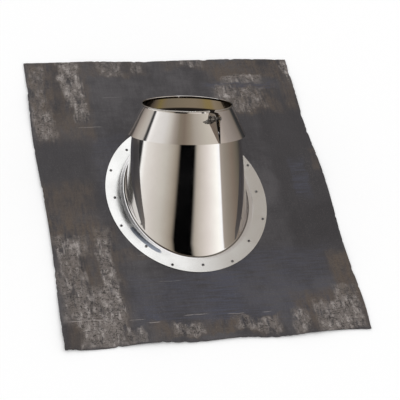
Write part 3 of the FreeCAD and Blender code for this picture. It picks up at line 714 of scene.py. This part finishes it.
MIRROR = Steel("mirror_steel", (0.815, 0.805, 0.81), (0.785, 0.772, 0.775), 0.035, 0.03, 0.05, 2e-6)
# the cone's inside: unpolished steel, whose dark colour is painted shade of the recess
SHADED_INSIDE = Steel("sooty_inside_steel", (0.085, 0.072, 0.058), (0.050, 0.042, 0.034), 0.35, 0.10, 0.03, 1e-5)
RING = RingSteel("mill_steel", (0.84, 0.84, 0.83), (0.80, 0.80, 0.79), 0.10, 0.05, 0.03, 1e-5)
FASTENER = Steel("fastener_steel", (0.27, 0.26, 0.25), (0.17, 0.16, 0.15), 0.22, 0.10, 0.004, 1e-5)
RIVET = Steel("rivet_steel", (0.30, 0.30, 0.31), (0.20, 0.20, 0.21), 0.34, 0.12, 0.003, 2e-5)
RIVET_HOLE = Steel("rivet_hole_shade", (0.030, 0.028, 0.028), (0.020, 0.019, 0.019), 0.60, 0.10, 0.002, 1e-5)


# ---- Mesh helpers ----
def finish_mesh(mesh: bmesh.types.BMesh, name: str, material: bpy.types.Material) -> bpy.types.Object:
    """Turn a bmesh into a smooth piece that rides on the part's one body.

    Args:
        mesh: the finished bmesh, which is freed.
        name: the piece's name.
        material: its finish.

    Returns:
        The new object.
    """
    for face in mesh.faces:
        face.smooth = True
    data = bpy.data.meshes.new(name)
    mesh.to_mesh(data)
    mesh.free()
    data.materials.append(material)
    piece = bpy.data.objects.new(name, data)
    bpy.context.scene.collection.objects.link(piece)
    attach(piece, "root")
    return piece


def rings_to_shell(rings: list[list[Vector]]) -> bmesh.types.BMesh:
    """Extrude a circle of edges through a list of closed rings.

    Args:
        rings: points of each ring, all with the same number of points.

    Returns:
        The bmesh of the open shell.
    """
    mesh = bmesh.new()
    loop = bmesh.ops.create_circle(mesh, segments=len(rings[0]), radius=1.0, cap_ends=False)["verts"]
    edges = mesh.edges[:]
    for vert, place in zip(loop, rings[0]):
        vert.co = place
    for ring in rings[1:]:
        extruded = bmesh.ops.extrude_edge_only(mesh, edges=edges)
        new_verts = [item for item in extruded["geom"] if isinstance(item, bmesh.types.BMVert)]
        edges = [item for item in extruded["geom"] if isinstance(item, bmesh.types.BMEdge)
                 and all(vert in new_verts for vert in item.verts)]
        loop = follow_ring(loop, new_verts)
        for vert, place in zip(loop, ring):
            vert.co = place
    bmesh.ops.recalc_face_normals(mesh, faces=mesh.faces[:])
    return mesh


def follow_ring(old: list[bmesh.types.BMVert], new: list[bmesh.types.BMVert]) -> list[bmesh.types.BMVert]:
    """The new verts in the order of the old ones that they were extruded from.

    Args:
        old: the ring that was extruded, in order.
        new: the extruded verts, in any order.

    Returns:
        The new verts in order.
    """
    fresh = set(new)
    return [next(edge.other_vert(vert) for edge in vert.link_edges if edge.other_vert(vert) in fresh)
            for vert in old]


# ---- Sub-assemblies ----
@dataclass
class PipeAxis:
    """The leaning axis of the pipe and the cone round it."""

    origin: Vector
    pitch: float = math.radians(37.0)
    taper: float = math.radians(6.4)
    foot_radius: float = 0.1452

    @property
    def along(self) -> Vector:
        """Unit vector up the pipe."""
        return Vector((0.0, math.sin(self.pitch), math.cos(self.pitch)))

    @property
    def front(self) -> Vector:
        """Unit vector square to the pipe, down the slope."""
        return Vector((0.0, -math.cos(self.pitch), math.sin(self.pitch)))

    def outward(self, turn: float) -> Vector:
        """Unit vector square to the pipe at a turn from the front towards +X."""
        return Vector((1.0, 0.0, 0.0)) * math.sin(turn) + self.front * math.cos(turn)

    def cone_radius(self, height: float) -> float:
        """The cone's outer radius at a height along the axis."""
        return self.foot_radius - height * math.tan(self.taper)

    def on_cone(self, turn: float, height: float) -> Vector:
        """A point of the cone's outside."""
        return self.origin + self.along * height + self.outward(turn) * self.cone_radius(height)

    def split(self, point: Vector) -> tuple[float, float]:
        """The turn and height of a point, seen from the axis."""
        offset = point - self.origin
        return math.atan2(offset.x, offset.dot(self.front)), offset.dot(self.along)


@dataclass
class Cone:
    """The polished cone with its flared foot and flat flange."""

    axis: PipeAxis
    height: float = 0.1677
    skin: float = 0.0006
    flare_front: float = 0.008
    flare_back: float = 0.006
    segments: int = 288
    wall_rings: int = 10
    flare_rings: int = 10
    turn_step: float = 1e-3

    def build(self) -> bpy.types.Object:
        """Make the cone's shell and dress it.

        Returns:
            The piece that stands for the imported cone.
        """
        low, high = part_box("boot_cone")
        top = low[2] + self.skin
        centre = Vector(((low[0] + high[0]) / 2, (low[1] + high[1]) / 2, top))
        half = ((high[0] - low[0]) / 2, (high[1] - low[1]) / 2)
        columns = [self._column(index, top, centre, half) for index in range(self.segments)]
        rings = [list(ring) for ring in zip(*columns)]
        steel = ConeSteel("polished_cone_steel", *astuple(MIRROR)[1:], flange_level=top)
        piece = finish_mesh(rings_to_shell(rings), "polished_cone", steel.material())
        piece.data.materials.append(SHADED_INSIDE.material())
        wall = piece.modifiers.new("skin", "SOLIDIFY")
        wall.material_offset = 1
        wall.thickness = self.skin
        wall.offset = -1.0
        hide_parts("boot_cone")
        return piece

    def _foot_point(self, turn: float, level: float) -> Vector:
        """Where the cone's line at a turn would meet the flange's top.

        Args:
            turn: the turn from the front towards +X.
            level: the flange's top.

        Returns:
            The meeting point.
        """
        axis = self.axis
        lean = axis.outward(turn).z
        slope = math.tan(axis.taper)
        height = (level - axis.origin.z - axis.foot_radius * lean) / (axis.along.z - slope * lean)
        return axis.on_cone(turn, height)

    def _column(self, index: int, level: float, centre: Vector, half: tuple[float, float]) -> list[Vector]:
        """Points down one line of the cone, round the flare and across the flange.

        Args:
            index: which of the cone's lines.
            level: the flange's top.
            centre: the centre of the flange's oval.
            half: the oval's half sizes across and along.

        Returns:
            The points, from the cone's mouth to the flange's edge.
        """
        axis = self.axis
        turn = 2.0 * math.pi * index / self.segments
        corner = self._foot_point(turn, level)
        run = self._foot_point(turn + self.turn_step, level) - self._foot_point(turn - self.turn_step, level)
        out = Vector((run.y, -run.x, 0.0)).normalized()
        if out.dot(corner - centre) < 0.0:
            out.negate()
        normal = (axis.outward(turn) + axis.along * math.tan(axis.taper)).normalized()
        up = normal.cross(run).normalized()
        if up.z < 0.0:
            up.negate()
        opening = up.angle(out)
        ease = (1.0 - math.cos(turn)) / 2.0
        radius = self.flare_front + (self.flare_back - self.flare_front) * ease * ease
        reach = radius / math.tan(opening / 2.0)
        meet_turn, meet_height = axis.split(corner + up * reach)
        meet = axis.on_cone(meet_turn, meet_height)
        meet_normal = (axis.outward(meet_turn) + axis.along * math.tan(axis.taper)).normalized()
        foot = corner + out * reach
        # The share of the way to the corner that makes a cubic curve follow the flare's arc.
        bend = math.pi - opening
        pull = 4.0 / 3.0 * math.tan(bend / 4.0) / math.tan(bend / 2.0)
        down = corner - meet
        down -= meet_normal * down.dot(meet_normal)
        handles = (meet, meet + down * pull, foot + (corner - foot) * pull, foot)
        column = [axis.on_cone(meet_turn, self.height + (meet_height - self.height) * step / self.wall_rings)
                  for step in range(self.wall_rings)]
        column += [bezier(handles, step / self.flare_rings) for step in range(self.flare_rings + 1)]
        edge = to_oval(foot, out, centre, half)
        column += [foot.lerp(edge, 0.5), edge]
        return column


def bezier(handles: tuple[Vector, Vector, Vector, Vector], place: float) -> Vector:
    """A point on a cubic curve.

    Args:
        handles: the curve's two ends, with its two handles between them.
        place: the share of the way along the curve.

    Returns:
        The point.
    """
    rest = 1.0 - place
    start, first, second, end = handles
    return (start * rest ** 3 + first * (3.0 * rest * rest * place)
            + second * (3.0 * rest * place * place) + end * place ** 3)


def to_oval(start: Vector, out: Vector, centre: Vector, half: tuple[float, float]) -> Vector:
    """Where a level line from a point inside an oval meets it.

    Args:
        start: the point inside.
        out: the line's direction.
        centre: the oval's centre.
        half: its half sizes across and along.

    Returns:
        The point on the oval.
    """
    x, y = (start.x - centre.x) / half[0], (start.y - centre.y) / half[1]
    dx, dy = out.x / half[0], out.y / half[1]
    a, b, c = dx * dx + dy * dy, x * dx + y * dy, x * x + y * y - 1.0
    distance = (-b + math.sqrt(b * b - a * c)) / a
    return Vector((start.x + out.x * distance, start.y + out.y * distance, start.z))


@dataclass
class LeadSheet:
    """The hand-dressed lead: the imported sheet's outline and waves, with nicked edges and small dents."""

    node: bpy.types.Object
    cells: tuple[int, int] = (168, 206)
    thickness: float = 0.0018
    corner_reach: float = 0.016
    edge_search: tuple[float, float] = (0.90, 1.02)
    search_steps: int = 14
    border_passes: int = 3
    nick_depth: float = 0.0032
    fine_nicks: float = 95.0
    coarse_nicks: float = 32.0
    dent_height: float = 0.0009
    broad_dents: tuple[float, float, float] = (17.0, 11.0, 3.0)
    small_dents: tuple[float, float, float] = (55.0, 38.0, 5.0)
    dent_creases: tuple[float, float, float] = (9.0, 26.0, 8.0)
    crease_sharpness: float = 9.0
    seat_reach: float = 1.03
    seat_fade: float = 0.15
    opening_reach: float = 1.15
    sharp_angle: float = math.radians(35.0)
    drop_height: float = 0.1

    def __post_init__(self) -> None:
        """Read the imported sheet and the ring's seat; neither mesh is changed."""
        solid = bmesh.new()
        solid.from_mesh(self.node.data)
        self.shape = BVHTree.FromBMesh(solid)
        solid.free()
        self.low, self.high = (Vector(corner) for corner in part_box(self.node.name))
        self.seat = [Vector(corner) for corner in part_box("flange_ring")]
        self.found: dict[tuple[float, int, int], float] = {}

    def build(self) -> bpy.types.Object:
        """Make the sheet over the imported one.

        Returns:
            The piece that stands for it.
        """
        mesh = bmesh.new()
        bmesh.ops.create_grid(mesh, x_segments=self.cells[0], y_segments=self.cells[1], size=1.0)
        for vert in mesh.verts:
            vert.co = self._surface((vert.co.x + 1.0) / 2.0, (vert.co.y + 1.0) / 2.0)
        self._open(mesh)
        under = bmesh.ops.extrude_face_region(mesh, geom=mesh.faces[:], use_keep_orig=True)["geom"]
        below = [item for item in under if isinstance(item, bmesh.types.BMVert)]
        bmesh.ops.translate(mesh, verts=below, vec=(0.0, 0.0, -self.thickness))
        for vert in below:
            vert.co.z = max(vert.co.z, self.low.z)
        bmesh.ops.recalc_face_normals(mesh, faces=mesh.faces[:])
        for edge in mesh.edges:
            edge.smooth = edge.calc_face_angle(0.0) < self.sharp_angle
        piece = finish_mesh(mesh, "dressed_lead_sheet", WeatheredLead().material())
        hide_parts(self.node.name)
        return piece

    def _on_sheet(self, x: float, y: float) -> Vector | None:
        """The sheet's top at a place, or nothing beside the sheet."""
        above = Vector((x, y, self.high.z + self.drop_height))
        return self.shape.ray_cast(above, Vector((0.0, 0.0, -1.0)))[0]

    def _edge(self, start: Vector, end: Vector) -> float:
        """How far along a level line the sheet ends.

        Args:
            start: a point on the sheet.
            end: a point beside it.

        Returns:
            The share of the way from start to end.
        """
        inner, outer = 0.0, 1.0
        for _ in range(self.search_steps):
            middle = (inner + outer) / 2.0
            place = start.lerp(end, middle)
            if self._on_sheet(place.x, place.y) is None:
                outer = middle
            else:
                inner = middle
        return inner

    def _nick(self, along: float, side: float) -> float:
        """How deep the edge is nicked.

        Args:
            along: the place along one side.
            side: a number that tells the sides apart.

        Returns:
            The depth.
        """
        fine = noise.noise(Vector((along * self.fine_nicks, side * 7.3, 0.4)))
        coarse = noise.noise(Vector((along * self.coarse_nicks, side * 3.1, 1.7)))
        return self.nick_depth * (0.18 + max(0.0, 0.75 * fine + 0.45 * coarse - 0.08) * 1.6)

    def _side(self, along: float, direction: int, axis: int) -> float:
        """Where the edge lies on one side, with its nicks.

        Args:
            along: the place along that side.
            direction: -1 for the lower side and 1 for the upper side.
            axis: 0 for the sides across the sheet, 1 for the sides along it.

        Returns:
            The edge's coordinate.
        """
        other = 1 - axis
        held = min(max(along, self.low[other] + self.corner_reach), self.high[other] - self.corner_reach)
        key = (round(held, 5), direction, axis)
        if key not in self.found:
            middle = (self.low[axis] + self.high[axis]) / 2.0
            reach = (self.high[axis] - self.low[axis]) / 2.0
            start, end = Vector((held, held, 0.0)), Vector((held, held, 0.0))
            start[axis] = middle + direction * reach * self.edge_search[0]
            end[axis] = middle + direction * reach * self.edge_search[1]
            self.found[key] = start.lerp(end, self._edge(start, end))[axis]
        return self.found[key] - direction * self._nick(along, direction * (axis + 1.0))

    def _surface(self, across: float, along: float) -> Vector:
        """A point on the sheet's top.

        Args:
            across: the share of the way across the sheet.
            along: the share of the way up it.

        Returns:
            The point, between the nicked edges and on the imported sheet's waves.
        """
        x = self.low.x + (self.high.x - self.low.x) * across
        y = self.low.y + (self.high.y - self.low.y) * along
        for _ in range(self.border_passes):
            left, right = self._side(y, -1, 0), self._side(y, 1, 0)
            x = left + (right - left) * across
            bottom, top = self._side(x, -1, 1), self._side(x, 1, 1)
            y = bottom + (top - bottom) * along
        hit = self._on_sheet(x, y) or self.shape.find_nearest(Vector((x, y, self.high.z)))[0]
        height = max(hit.z, self.low.z + self.thickness)
        return Vector((x, y, height + self._dent(x, y)))

    def _dent(self, x: float, y: float) -> float:
        """How far a dent stands up, which is nothing where the ring is riveted down.

        Args:
            x: the place across the sheet.
            y: the place along it.

        Returns:
            The height.
        """
        low, high = self.seat
        reach = math.hypot((2.0 * x - low.x - high.x) / (high.x - low.x),
                           (2.0 * y - low.y - high.y) / (high.y - low.y))
        fade = min(max((reach - self.seat_reach) / self.seat_fade, 0.0), 1.0)
        broad, small, valley = (noise.noise(Vector((x * scale[0], y * scale[1], scale[2])))
                                for scale in (self.broad_dents, self.small_dents, self.dent_creases))
        crease = 1.0 - min(abs(valley) * self.crease_sharpness, 1.0)
        return self.dent_height * fade * max(0.0, 0.7 * broad + 0.35 * small + 0.45 * crease + 0.25)

    def _open(self, mesh: bmesh.types.BMesh) -> None:
        """Cut the way for the pipe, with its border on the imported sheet's opening.

        Args:
            mesh: the grid over the whole sheet.
        """
        low, high = self.seat
        centre = Vector(((low.x + high.x) / 2, (low.y + high.y) / 2, 0.0))
        reach = (high.x - low.x) / 2.0 * self.opening_reach
        inside = []
        for face in mesh.faces:
            place = face.calc_center_median()
            near = math.hypot(place.x - centre.x, place.y - centre.y) < reach
            if near and self._on_sheet(place.x, place.y) is None:
                inside.append(face)
        bmesh.ops.delete(mesh, geom=inside, context="FACES")
        for vert in mesh.verts:
            offset = Vector((vert.co.x, vert.co.y, 0.0)) - centre
            if vert.is_boundary and offset.length < reach:
                far = centre + offset.normalized() * reach
                vert.co.xy = far.lerp(centre, self._edge(far, centre)).xy


@dataclass
class Rivets:
    """The pop rivets: a low domed head on each, round the hollow that the pulled pin leaves."""

    head_radius: float = 0.0035
    head_height: float = 0.0015
    brim: float = 0.00025
    hollow_radius: float = 0.0014
    hollow_depth: float = 0.0010
    hollow_taper: float = 0.95
    hollow_lip: float = 0.00015
    pin_radius: float = 0.0008
    pin_rise: float = 0.0004
    pin_crown: float = 0.0005
    shank_radius: float = 0.0030
    dome_steps: int = 5
    segments: int = 28

    def build(self, node: bpy.types.Object) -> bpy.types.Object:
        """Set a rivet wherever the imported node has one.

        Args:
            node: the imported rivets.

        Returns:
            The piece that stands for them.
        """
        places = loose_parts(node)
        mesh = bmesh.new()
        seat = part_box("flange_ring")[1][2]
        for low, high in places:
            made = self._one(mesh, low.z - seat)
            bmesh.ops.translate(mesh, verts=made, vec=((low.x + high.x) / 2, (low.y + high.y) / 2, seat))
        bmesh.ops.recalc_face_normals(mesh, faces=mesh.faces[:])
        for face in mesh.faces:
            centre = face.calc_center_median()
            nearest = min(math.hypot(centre.x - (low.x + high.x) / 2, centre.y - (low.y + high.y) / 2)
                          for low, high in places)
            below_lip = seat < centre.z < seat + self.head_height - self.hollow_lip
            face.material_index = 1 if nearest < self.hollow_radius and below_lip else 0
        piece = finish_mesh(mesh, "pop_rivets", RIVET.material())
        piece.data.materials.append(RIVET_HOLE.material())
        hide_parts(node.name)
        return piece

    def _one(self, mesh: bmesh.types.BMesh, foot: float) -> list[bmesh.types.BMVert]:
        """Spin one rivet about the Z axis, with its seat at 0.

        Args:
            mesh: the bmesh that it is added to.
            foot: the level of the shank's end.

        Returns:
            The rivet's verts.
        """
        floor = self.head_height - self.hollow_depth
        profile = [(0.0, foot), (self.shank_radius, foot), (self.shank_radius, 0.0), (self.head_radius, 0.0),
                   (self.head_radius, self.brim)]
        for step in range(1, self.dome_steps + 1):
            turn = math.pi / 2.0 * step / (self.dome_steps + 1)
            rise = self.brim + (self.head_height - self.brim) * math.sin(turn)
            run = self.head_radius - (self.head_radius - self.hollow_radius) * (1.0 - math.cos(turn))
            profile.append((run, rise))
        profile += [(self.hollow_radius, self.head_height), (self.hollow_radius * self.hollow_taper, floor),
                    (self.pin_radius, floor), (self.pin_radius, floor + self.pin_rise),
                    (0.0, floor + self.pin_crown)]
        verts = [mesh.verts.new((run, 0.0, rise)) for run, rise in profile]
        edges = [mesh.edges.new(pair) for pair in zip(verts, verts[1:])]
        bmesh.ops.spin(mesh, geom=verts + edges, cent=(0.0, 0.0, 0.0), axis=(0.0, 0.0, 1.0),
                       angle=2.0 * math.pi, steps=self.segments, use_merge=True)
        fresh = flood(verts[3])
        poles = [vert for vert in fresh if math.hypot(vert.co.x, vert.co.y) < 1e-7]
        bmesh.ops.remove_doubles(mesh, verts=poles, dist=1e-6)
        return flood(next(vert for vert in fresh if vert.is_valid and vert.co.x > self.pin_radius))


def flood(start: bmesh.types.BMVert) -> list[bmesh.types.BMVert]:
    """Every vert that edges join to a start, with the start itself.

    Args:
        start: one vert of the solid.

    Returns:
        The solid's verts, sorted by place.
    """
    found, waiting = {start}, [start]
    while waiting:
        for edge in waiting.pop().link_edges:
            for vert in edge.verts:
                if vert not in found:
                    found.add(vert)
                    waiting.append(vert)
    return sorted(found, key=lambda vert: tuple(vert.co))


def loose_parts(node: bpy.types.Object) -> list[tuple[Vector, Vector]]:
    """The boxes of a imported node's separate solids.

    Args:
        node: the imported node, whose mesh is only read.

    Returns:
        The lowest and highest corner of each solid.
    """
    mesh = bmesh.new()
    mesh.from_mesh(node.data)
    bmesh.ops.remove_doubles(mesh, verts=mesh.verts[:], dist=1e-6)
    left, boxes = set(mesh.verts), []
    while left:
        part = flood(min(left, key=lambda vert: tuple(vert.co)))
        left.difference_update(part)
        boxes.append((Vector([min(vert.co[axis] for vert in part) for axis in range(3)]),
                      Vector([max(vert.co[axis] for vert in part) for axis in range(3)])))
    mesh.free()
    return boxes


@dataclass
class PackedPieces:
    """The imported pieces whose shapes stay, with the finish of each."""

    axis: PipeAxis
    seam_turn: float = math.radians(18.4)
    finishes: dict[str, Steel] = field(default_factory=lambda: {
        "flange_ring": RING, "clamp_bolt": FASTENER, "clamp_washers": FASTENER, "wing_nut": FASTENER})

    def dress(self, nodes: dict[str, bpy.types.Object]) -> None:
        """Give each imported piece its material.

        Args:
            nodes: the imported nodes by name.
        """
        made: dict[str, bpy.types.Material] = {}
        collar = CollarSteel("collar_steel", *astuple(MIRROR)[1:], origin=tuple(self.axis.origin),
                             along=tuple(self.axis.along), seam=tuple(self.axis.outward(self.seam_turn)))
        self._dress_one(nodes["storm_collar"], collar.material())
        for name, steel in self.finishes.items():
            made.setdefault(steel.name, steel.material())
            self._dress_one(nodes[name], made[steel.name])

    @staticmethod
    def _dress_one(node: bpy.types.Object, material: bpy.types.Material) -> None:
        """Make one material the only one of a node.

        Args:
            node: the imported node.
            material: its finish.
        """
        node.data.materials.clear()
        node.data.materials.append(material)
        LOG.info("%s dressed in %s", node.name, material.name)


@dataclass
class Studio:
    """The floor, the surrounding light and the camera."""

    axis: PipeAxis
    floor_half: float = 6.0
    floor_gap: float = 0.0005
    panel_lean: float = 0.026
    lean_range: float = 0.085
    lamp_side: tuple[float, float, float] = (0.25, 0.60, 0.76)
    lamp: Colour = (1.15, 1.15, 1.15)
    lamp_shade: Colour = (0.40, 0.36, 0.32)
    floor_seen: Colour = (0.33, 0.31, 0.28)
    ear_panel: Colour = (0.66, 0.62, 0.57)
    ear_bearing: float = -127.0
    dark_behind: Colour = (0.075, 0.070, 0.064)
    camera_place: tuple[float, float, float] = (-0.71607, -1.82413, 2.26929)
    camera_turn: tuple[float, float, float] = (39.497, -9.664, -10.981)
    lens: float = 112.13
    sensor: float = 36.0
    far: float = 50.0

    def build(self) -> None:
        """Make everything round the object."""
        self._floor()
        self._surroundings()
        self._camera()

    def _floor(self) -> None:
        """A plain pale floor under the lead sheet."""
        mesh = bmesh.new()
        bmesh.ops.create_grid(mesh, x_segments=1, y_segments=1, size=self.floor_half)
        bmesh.ops.translate(mesh, verts=mesh.verts[:], vec=(0.0, 0.0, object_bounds()[0][2] - self.floor_gap))
        data = bpy.data.meshes.new("floor")
        mesh.to_mesh(data)
        mesh.free()
        material, tree = new_material("pale_floor")
        diffuse = tree.node("ShaderNodeBsdfDiffuse", inputs={"Color": (1.0, 1.0, 1.0)}).outputs[0]
        clear = tree.node("ShaderNodeBsdfTransparent").outputs[0]
        mirrored = tree.value("ShaderNodeLightPath", output="Is Glossy Ray")
        tree.node("ShaderNodeOutputMaterial", inputs={0: tree.node("ShaderNodeMixShader", inputs={
            0: mirrored, 1: diffuse, 2: clear}).outputs[0]})
        data.materials.append(material)
        floor = bpy.data.objects.new("floor", data)
        bpy.context.scene.collection.objects.link(floor)
        floor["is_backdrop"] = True

    def _surroundings(self) -> None:
        """Even white light, with the studio's panels and gaps for what the polished steel mirrors."""
        world = bpy.data.worlds.new("studio")
        world.use_nodes = True
        bpy.context.scene.world = world
        tree = Tree(world.node_tree)
        direction = tree.node("ShaderNodeTexCoord").outputs["Generated"]
        level = tree.along(direction, tuple(self.axis.along))
        front = tree.along(direction, tuple(self.axis.front))
        side = tree.along(direction, (1.0, 0.0, 0.0))
        bearing = side.angle_from(front) * (0.5 / math.pi) + 0.5
        first, second = (((start - level) / self.lean_range).clamp() for start in (0.02, -0.065))
        leaned = bearing + (first + second) * (1.0 - (bearing - 0.5).step(-0.06, 0.13)) * self.panel_lean
        low = tree.node("ShaderNodeValToRGB", {"stops": self._panels()}, {0: leaned}).outputs[0]
        high = tree.node("ShaderNodeValToRGB", {"stops": self._upper_panels()}, {0: bearing}).outputs[0]
        overhead = tree.blend(side.step(0.275, 0.225), self.lamp_shade, self.lamp)
        near_lamp = tree.along(direction, tuple(Vector(self.lamp_side).normalized()))
        from_ear = (bearing - 0.5 - self.ear_bearing / 360.0).size()
        low = tree.blend(level.step(-0.145, -0.18) * from_ear.step(0.050, 0.035), low, self.ear_panel)
        seen = tree.blend(level.step(-0.55, -0.25), self.floor_seen, low)
        seen = tree.blend(level.step(0.14, 0.24), seen, high)
        behind_left = level.step(0.60, 0.68) * side.step(-0.25, -0.45) * front.step(0.12, 0.02)
        seen = tree.blend(behind_left, seen, self.dark_behind)
        seen = tree.blend(near_lamp.step(0.82, 0.90), seen, overhead)
        mirrored = tree.value("ShaderNodeLightPath", output="Is Glossy Ray")
        colour = tree.blend(mirrored, (1.0, 1.0, 1.0), seen)
        tree.node("ShaderNodeOutputWorld", inputs={0: tree.node("ShaderNodeBackground", inputs={
            "Color": colour, "Strength": 1.0}).outputs[0]})

    @staticmethod
    def _turns(stops: list[tuple[float, float | Colour]]) -> list[tuple[float, float | Colour]]:
        """Stops given by bearing in degrees, as places on a ramp from 0 to 1."""
        return [(bearing / 360.0 + 0.5, tone) for bearing, tone in stops]

    def _panels(self) -> list[tuple[float, float | Colour]]:
        """What stands round the boot at pipe level.

        Returns:
            The stops, by bearing from straight down the slope towards +X.
        """
        return self._turns([
            (-170, 0.04), (-143, (0.10, 0.09, 0.08)), (-133, (0.30, 0.26, 0.21)), (-121, (0.25, 0.22, 0.18)),
            (-115, 0.03), (-107, 0.03), (-103, (1.18, 1.17, 1.12)), (-93, (0.93, 0.89, 0.83)),
            (-73, (0.77, 0.72, 0.66)), (-52, (0.63, 0.59, 0.52)), (-38, (0.46, 0.41, 0.34)),
            (-30, (0.32, 0.27, 0.21)), (-24, 0.0), (3, 0.0), (9, (0.50, 0.45, 0.38)),
            (16, (0.65, 0.59, 0.52)), (30, (0.90, 0.83, 0.77)), (48, (1.22, 1.20, 1.12)), (56.5, 1.2),
            (58, (0.42, 0.37, 0.32)), (70, (0.32, 0.28, 0.23)), (90, (0.24, 0.19, 0.15)),
            (110, (0.15, 0.13, 0.10)), (128, (0.04, 0.04, 0.04)), (160, 0.03)])

    def _upper_panels(self) -> list[tuple[float, float | Colour]]:
        """What stands round the boot above pipe level.

        Returns:
            The stops, by bearing from straight down the slope towards +X.
        """
        return self._turns([
            (-175, (0.12, 0.11, 0.09)), (-157, (0.18, 0.16, 0.14)), (-142, (0.37, 0.32, 0.28)),
            (-128, (0.53, 0.48, 0.42)), (-115, (0.57, 0.53, 0.48)), (-111, 0.05), (-107, 0.05),
            (-103, (1.10, 1.07, 1.03)), (-92, (0.91, 0.88, 0.84)), (-70, (0.79, 0.76, 0.72)),
            (-58, (0.66, 0.62, 0.56)), (-44, (0.40, 0.35, 0.30)), (-32, (0.25, 0.21, 0.16)),
            (-20, (0.23, 0.18, 0.14)), (-6, (0.32, 0.27, 0.21)), (8, (0.45, 0.40, 0.34)),
            (35, (0.61, 0.56, 0.48)), (50, (0.68, 0.62, 0.54)), (66, (0.55, 0.48, 0.42)),
            (80, (0.39, 0.34, 0.30)), (104, (0.28, 0.24, 0.21)), (132, (0.17, 0.14, 0.11)),
            (175, (0.12, 0.11, 0.09))])

    def _camera(self) -> None:
        """The camera, in front of the boot and to its left."""
        data = bpy.data.cameras.new("camera")
        data.lens, data.sensor_width, data.clip_end = self.lens, self.sensor, self.far
        camera = bpy.data.objects.new("camera", data)
        camera.location = self.camera_place
        camera.rotation_euler = [math.radians(angle) for angle in self.camera_turn]
        scene = bpy.context.scene
        scene.collection.objects.link(camera)
        scene.camera = camera
        scene.view_settings.view_transform = "Standard"


def main() -> None:
    """Build every piece in order and report it."""
    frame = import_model()
    lead_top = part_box("flange_ring")[0][2] - Cone.skin
    axis = PipeAxis(origin=Vector((-0.006, -0.007, lead_top)))
    nodes = frame["nodes"]
    pieces = (Cone(axis).build(), LeadSheet(nodes["lead_sheet"]).build(), Rivets().build(nodes["rivets"]))
    for piece in pieces:
        LOG.info("%s built", piece.name)
    PackedPieces(axis).dress(nodes)
    Studio(axis).build()


if __name__ == "__main__":
    logging.basicConfig(level=logging.INFO)
    main()
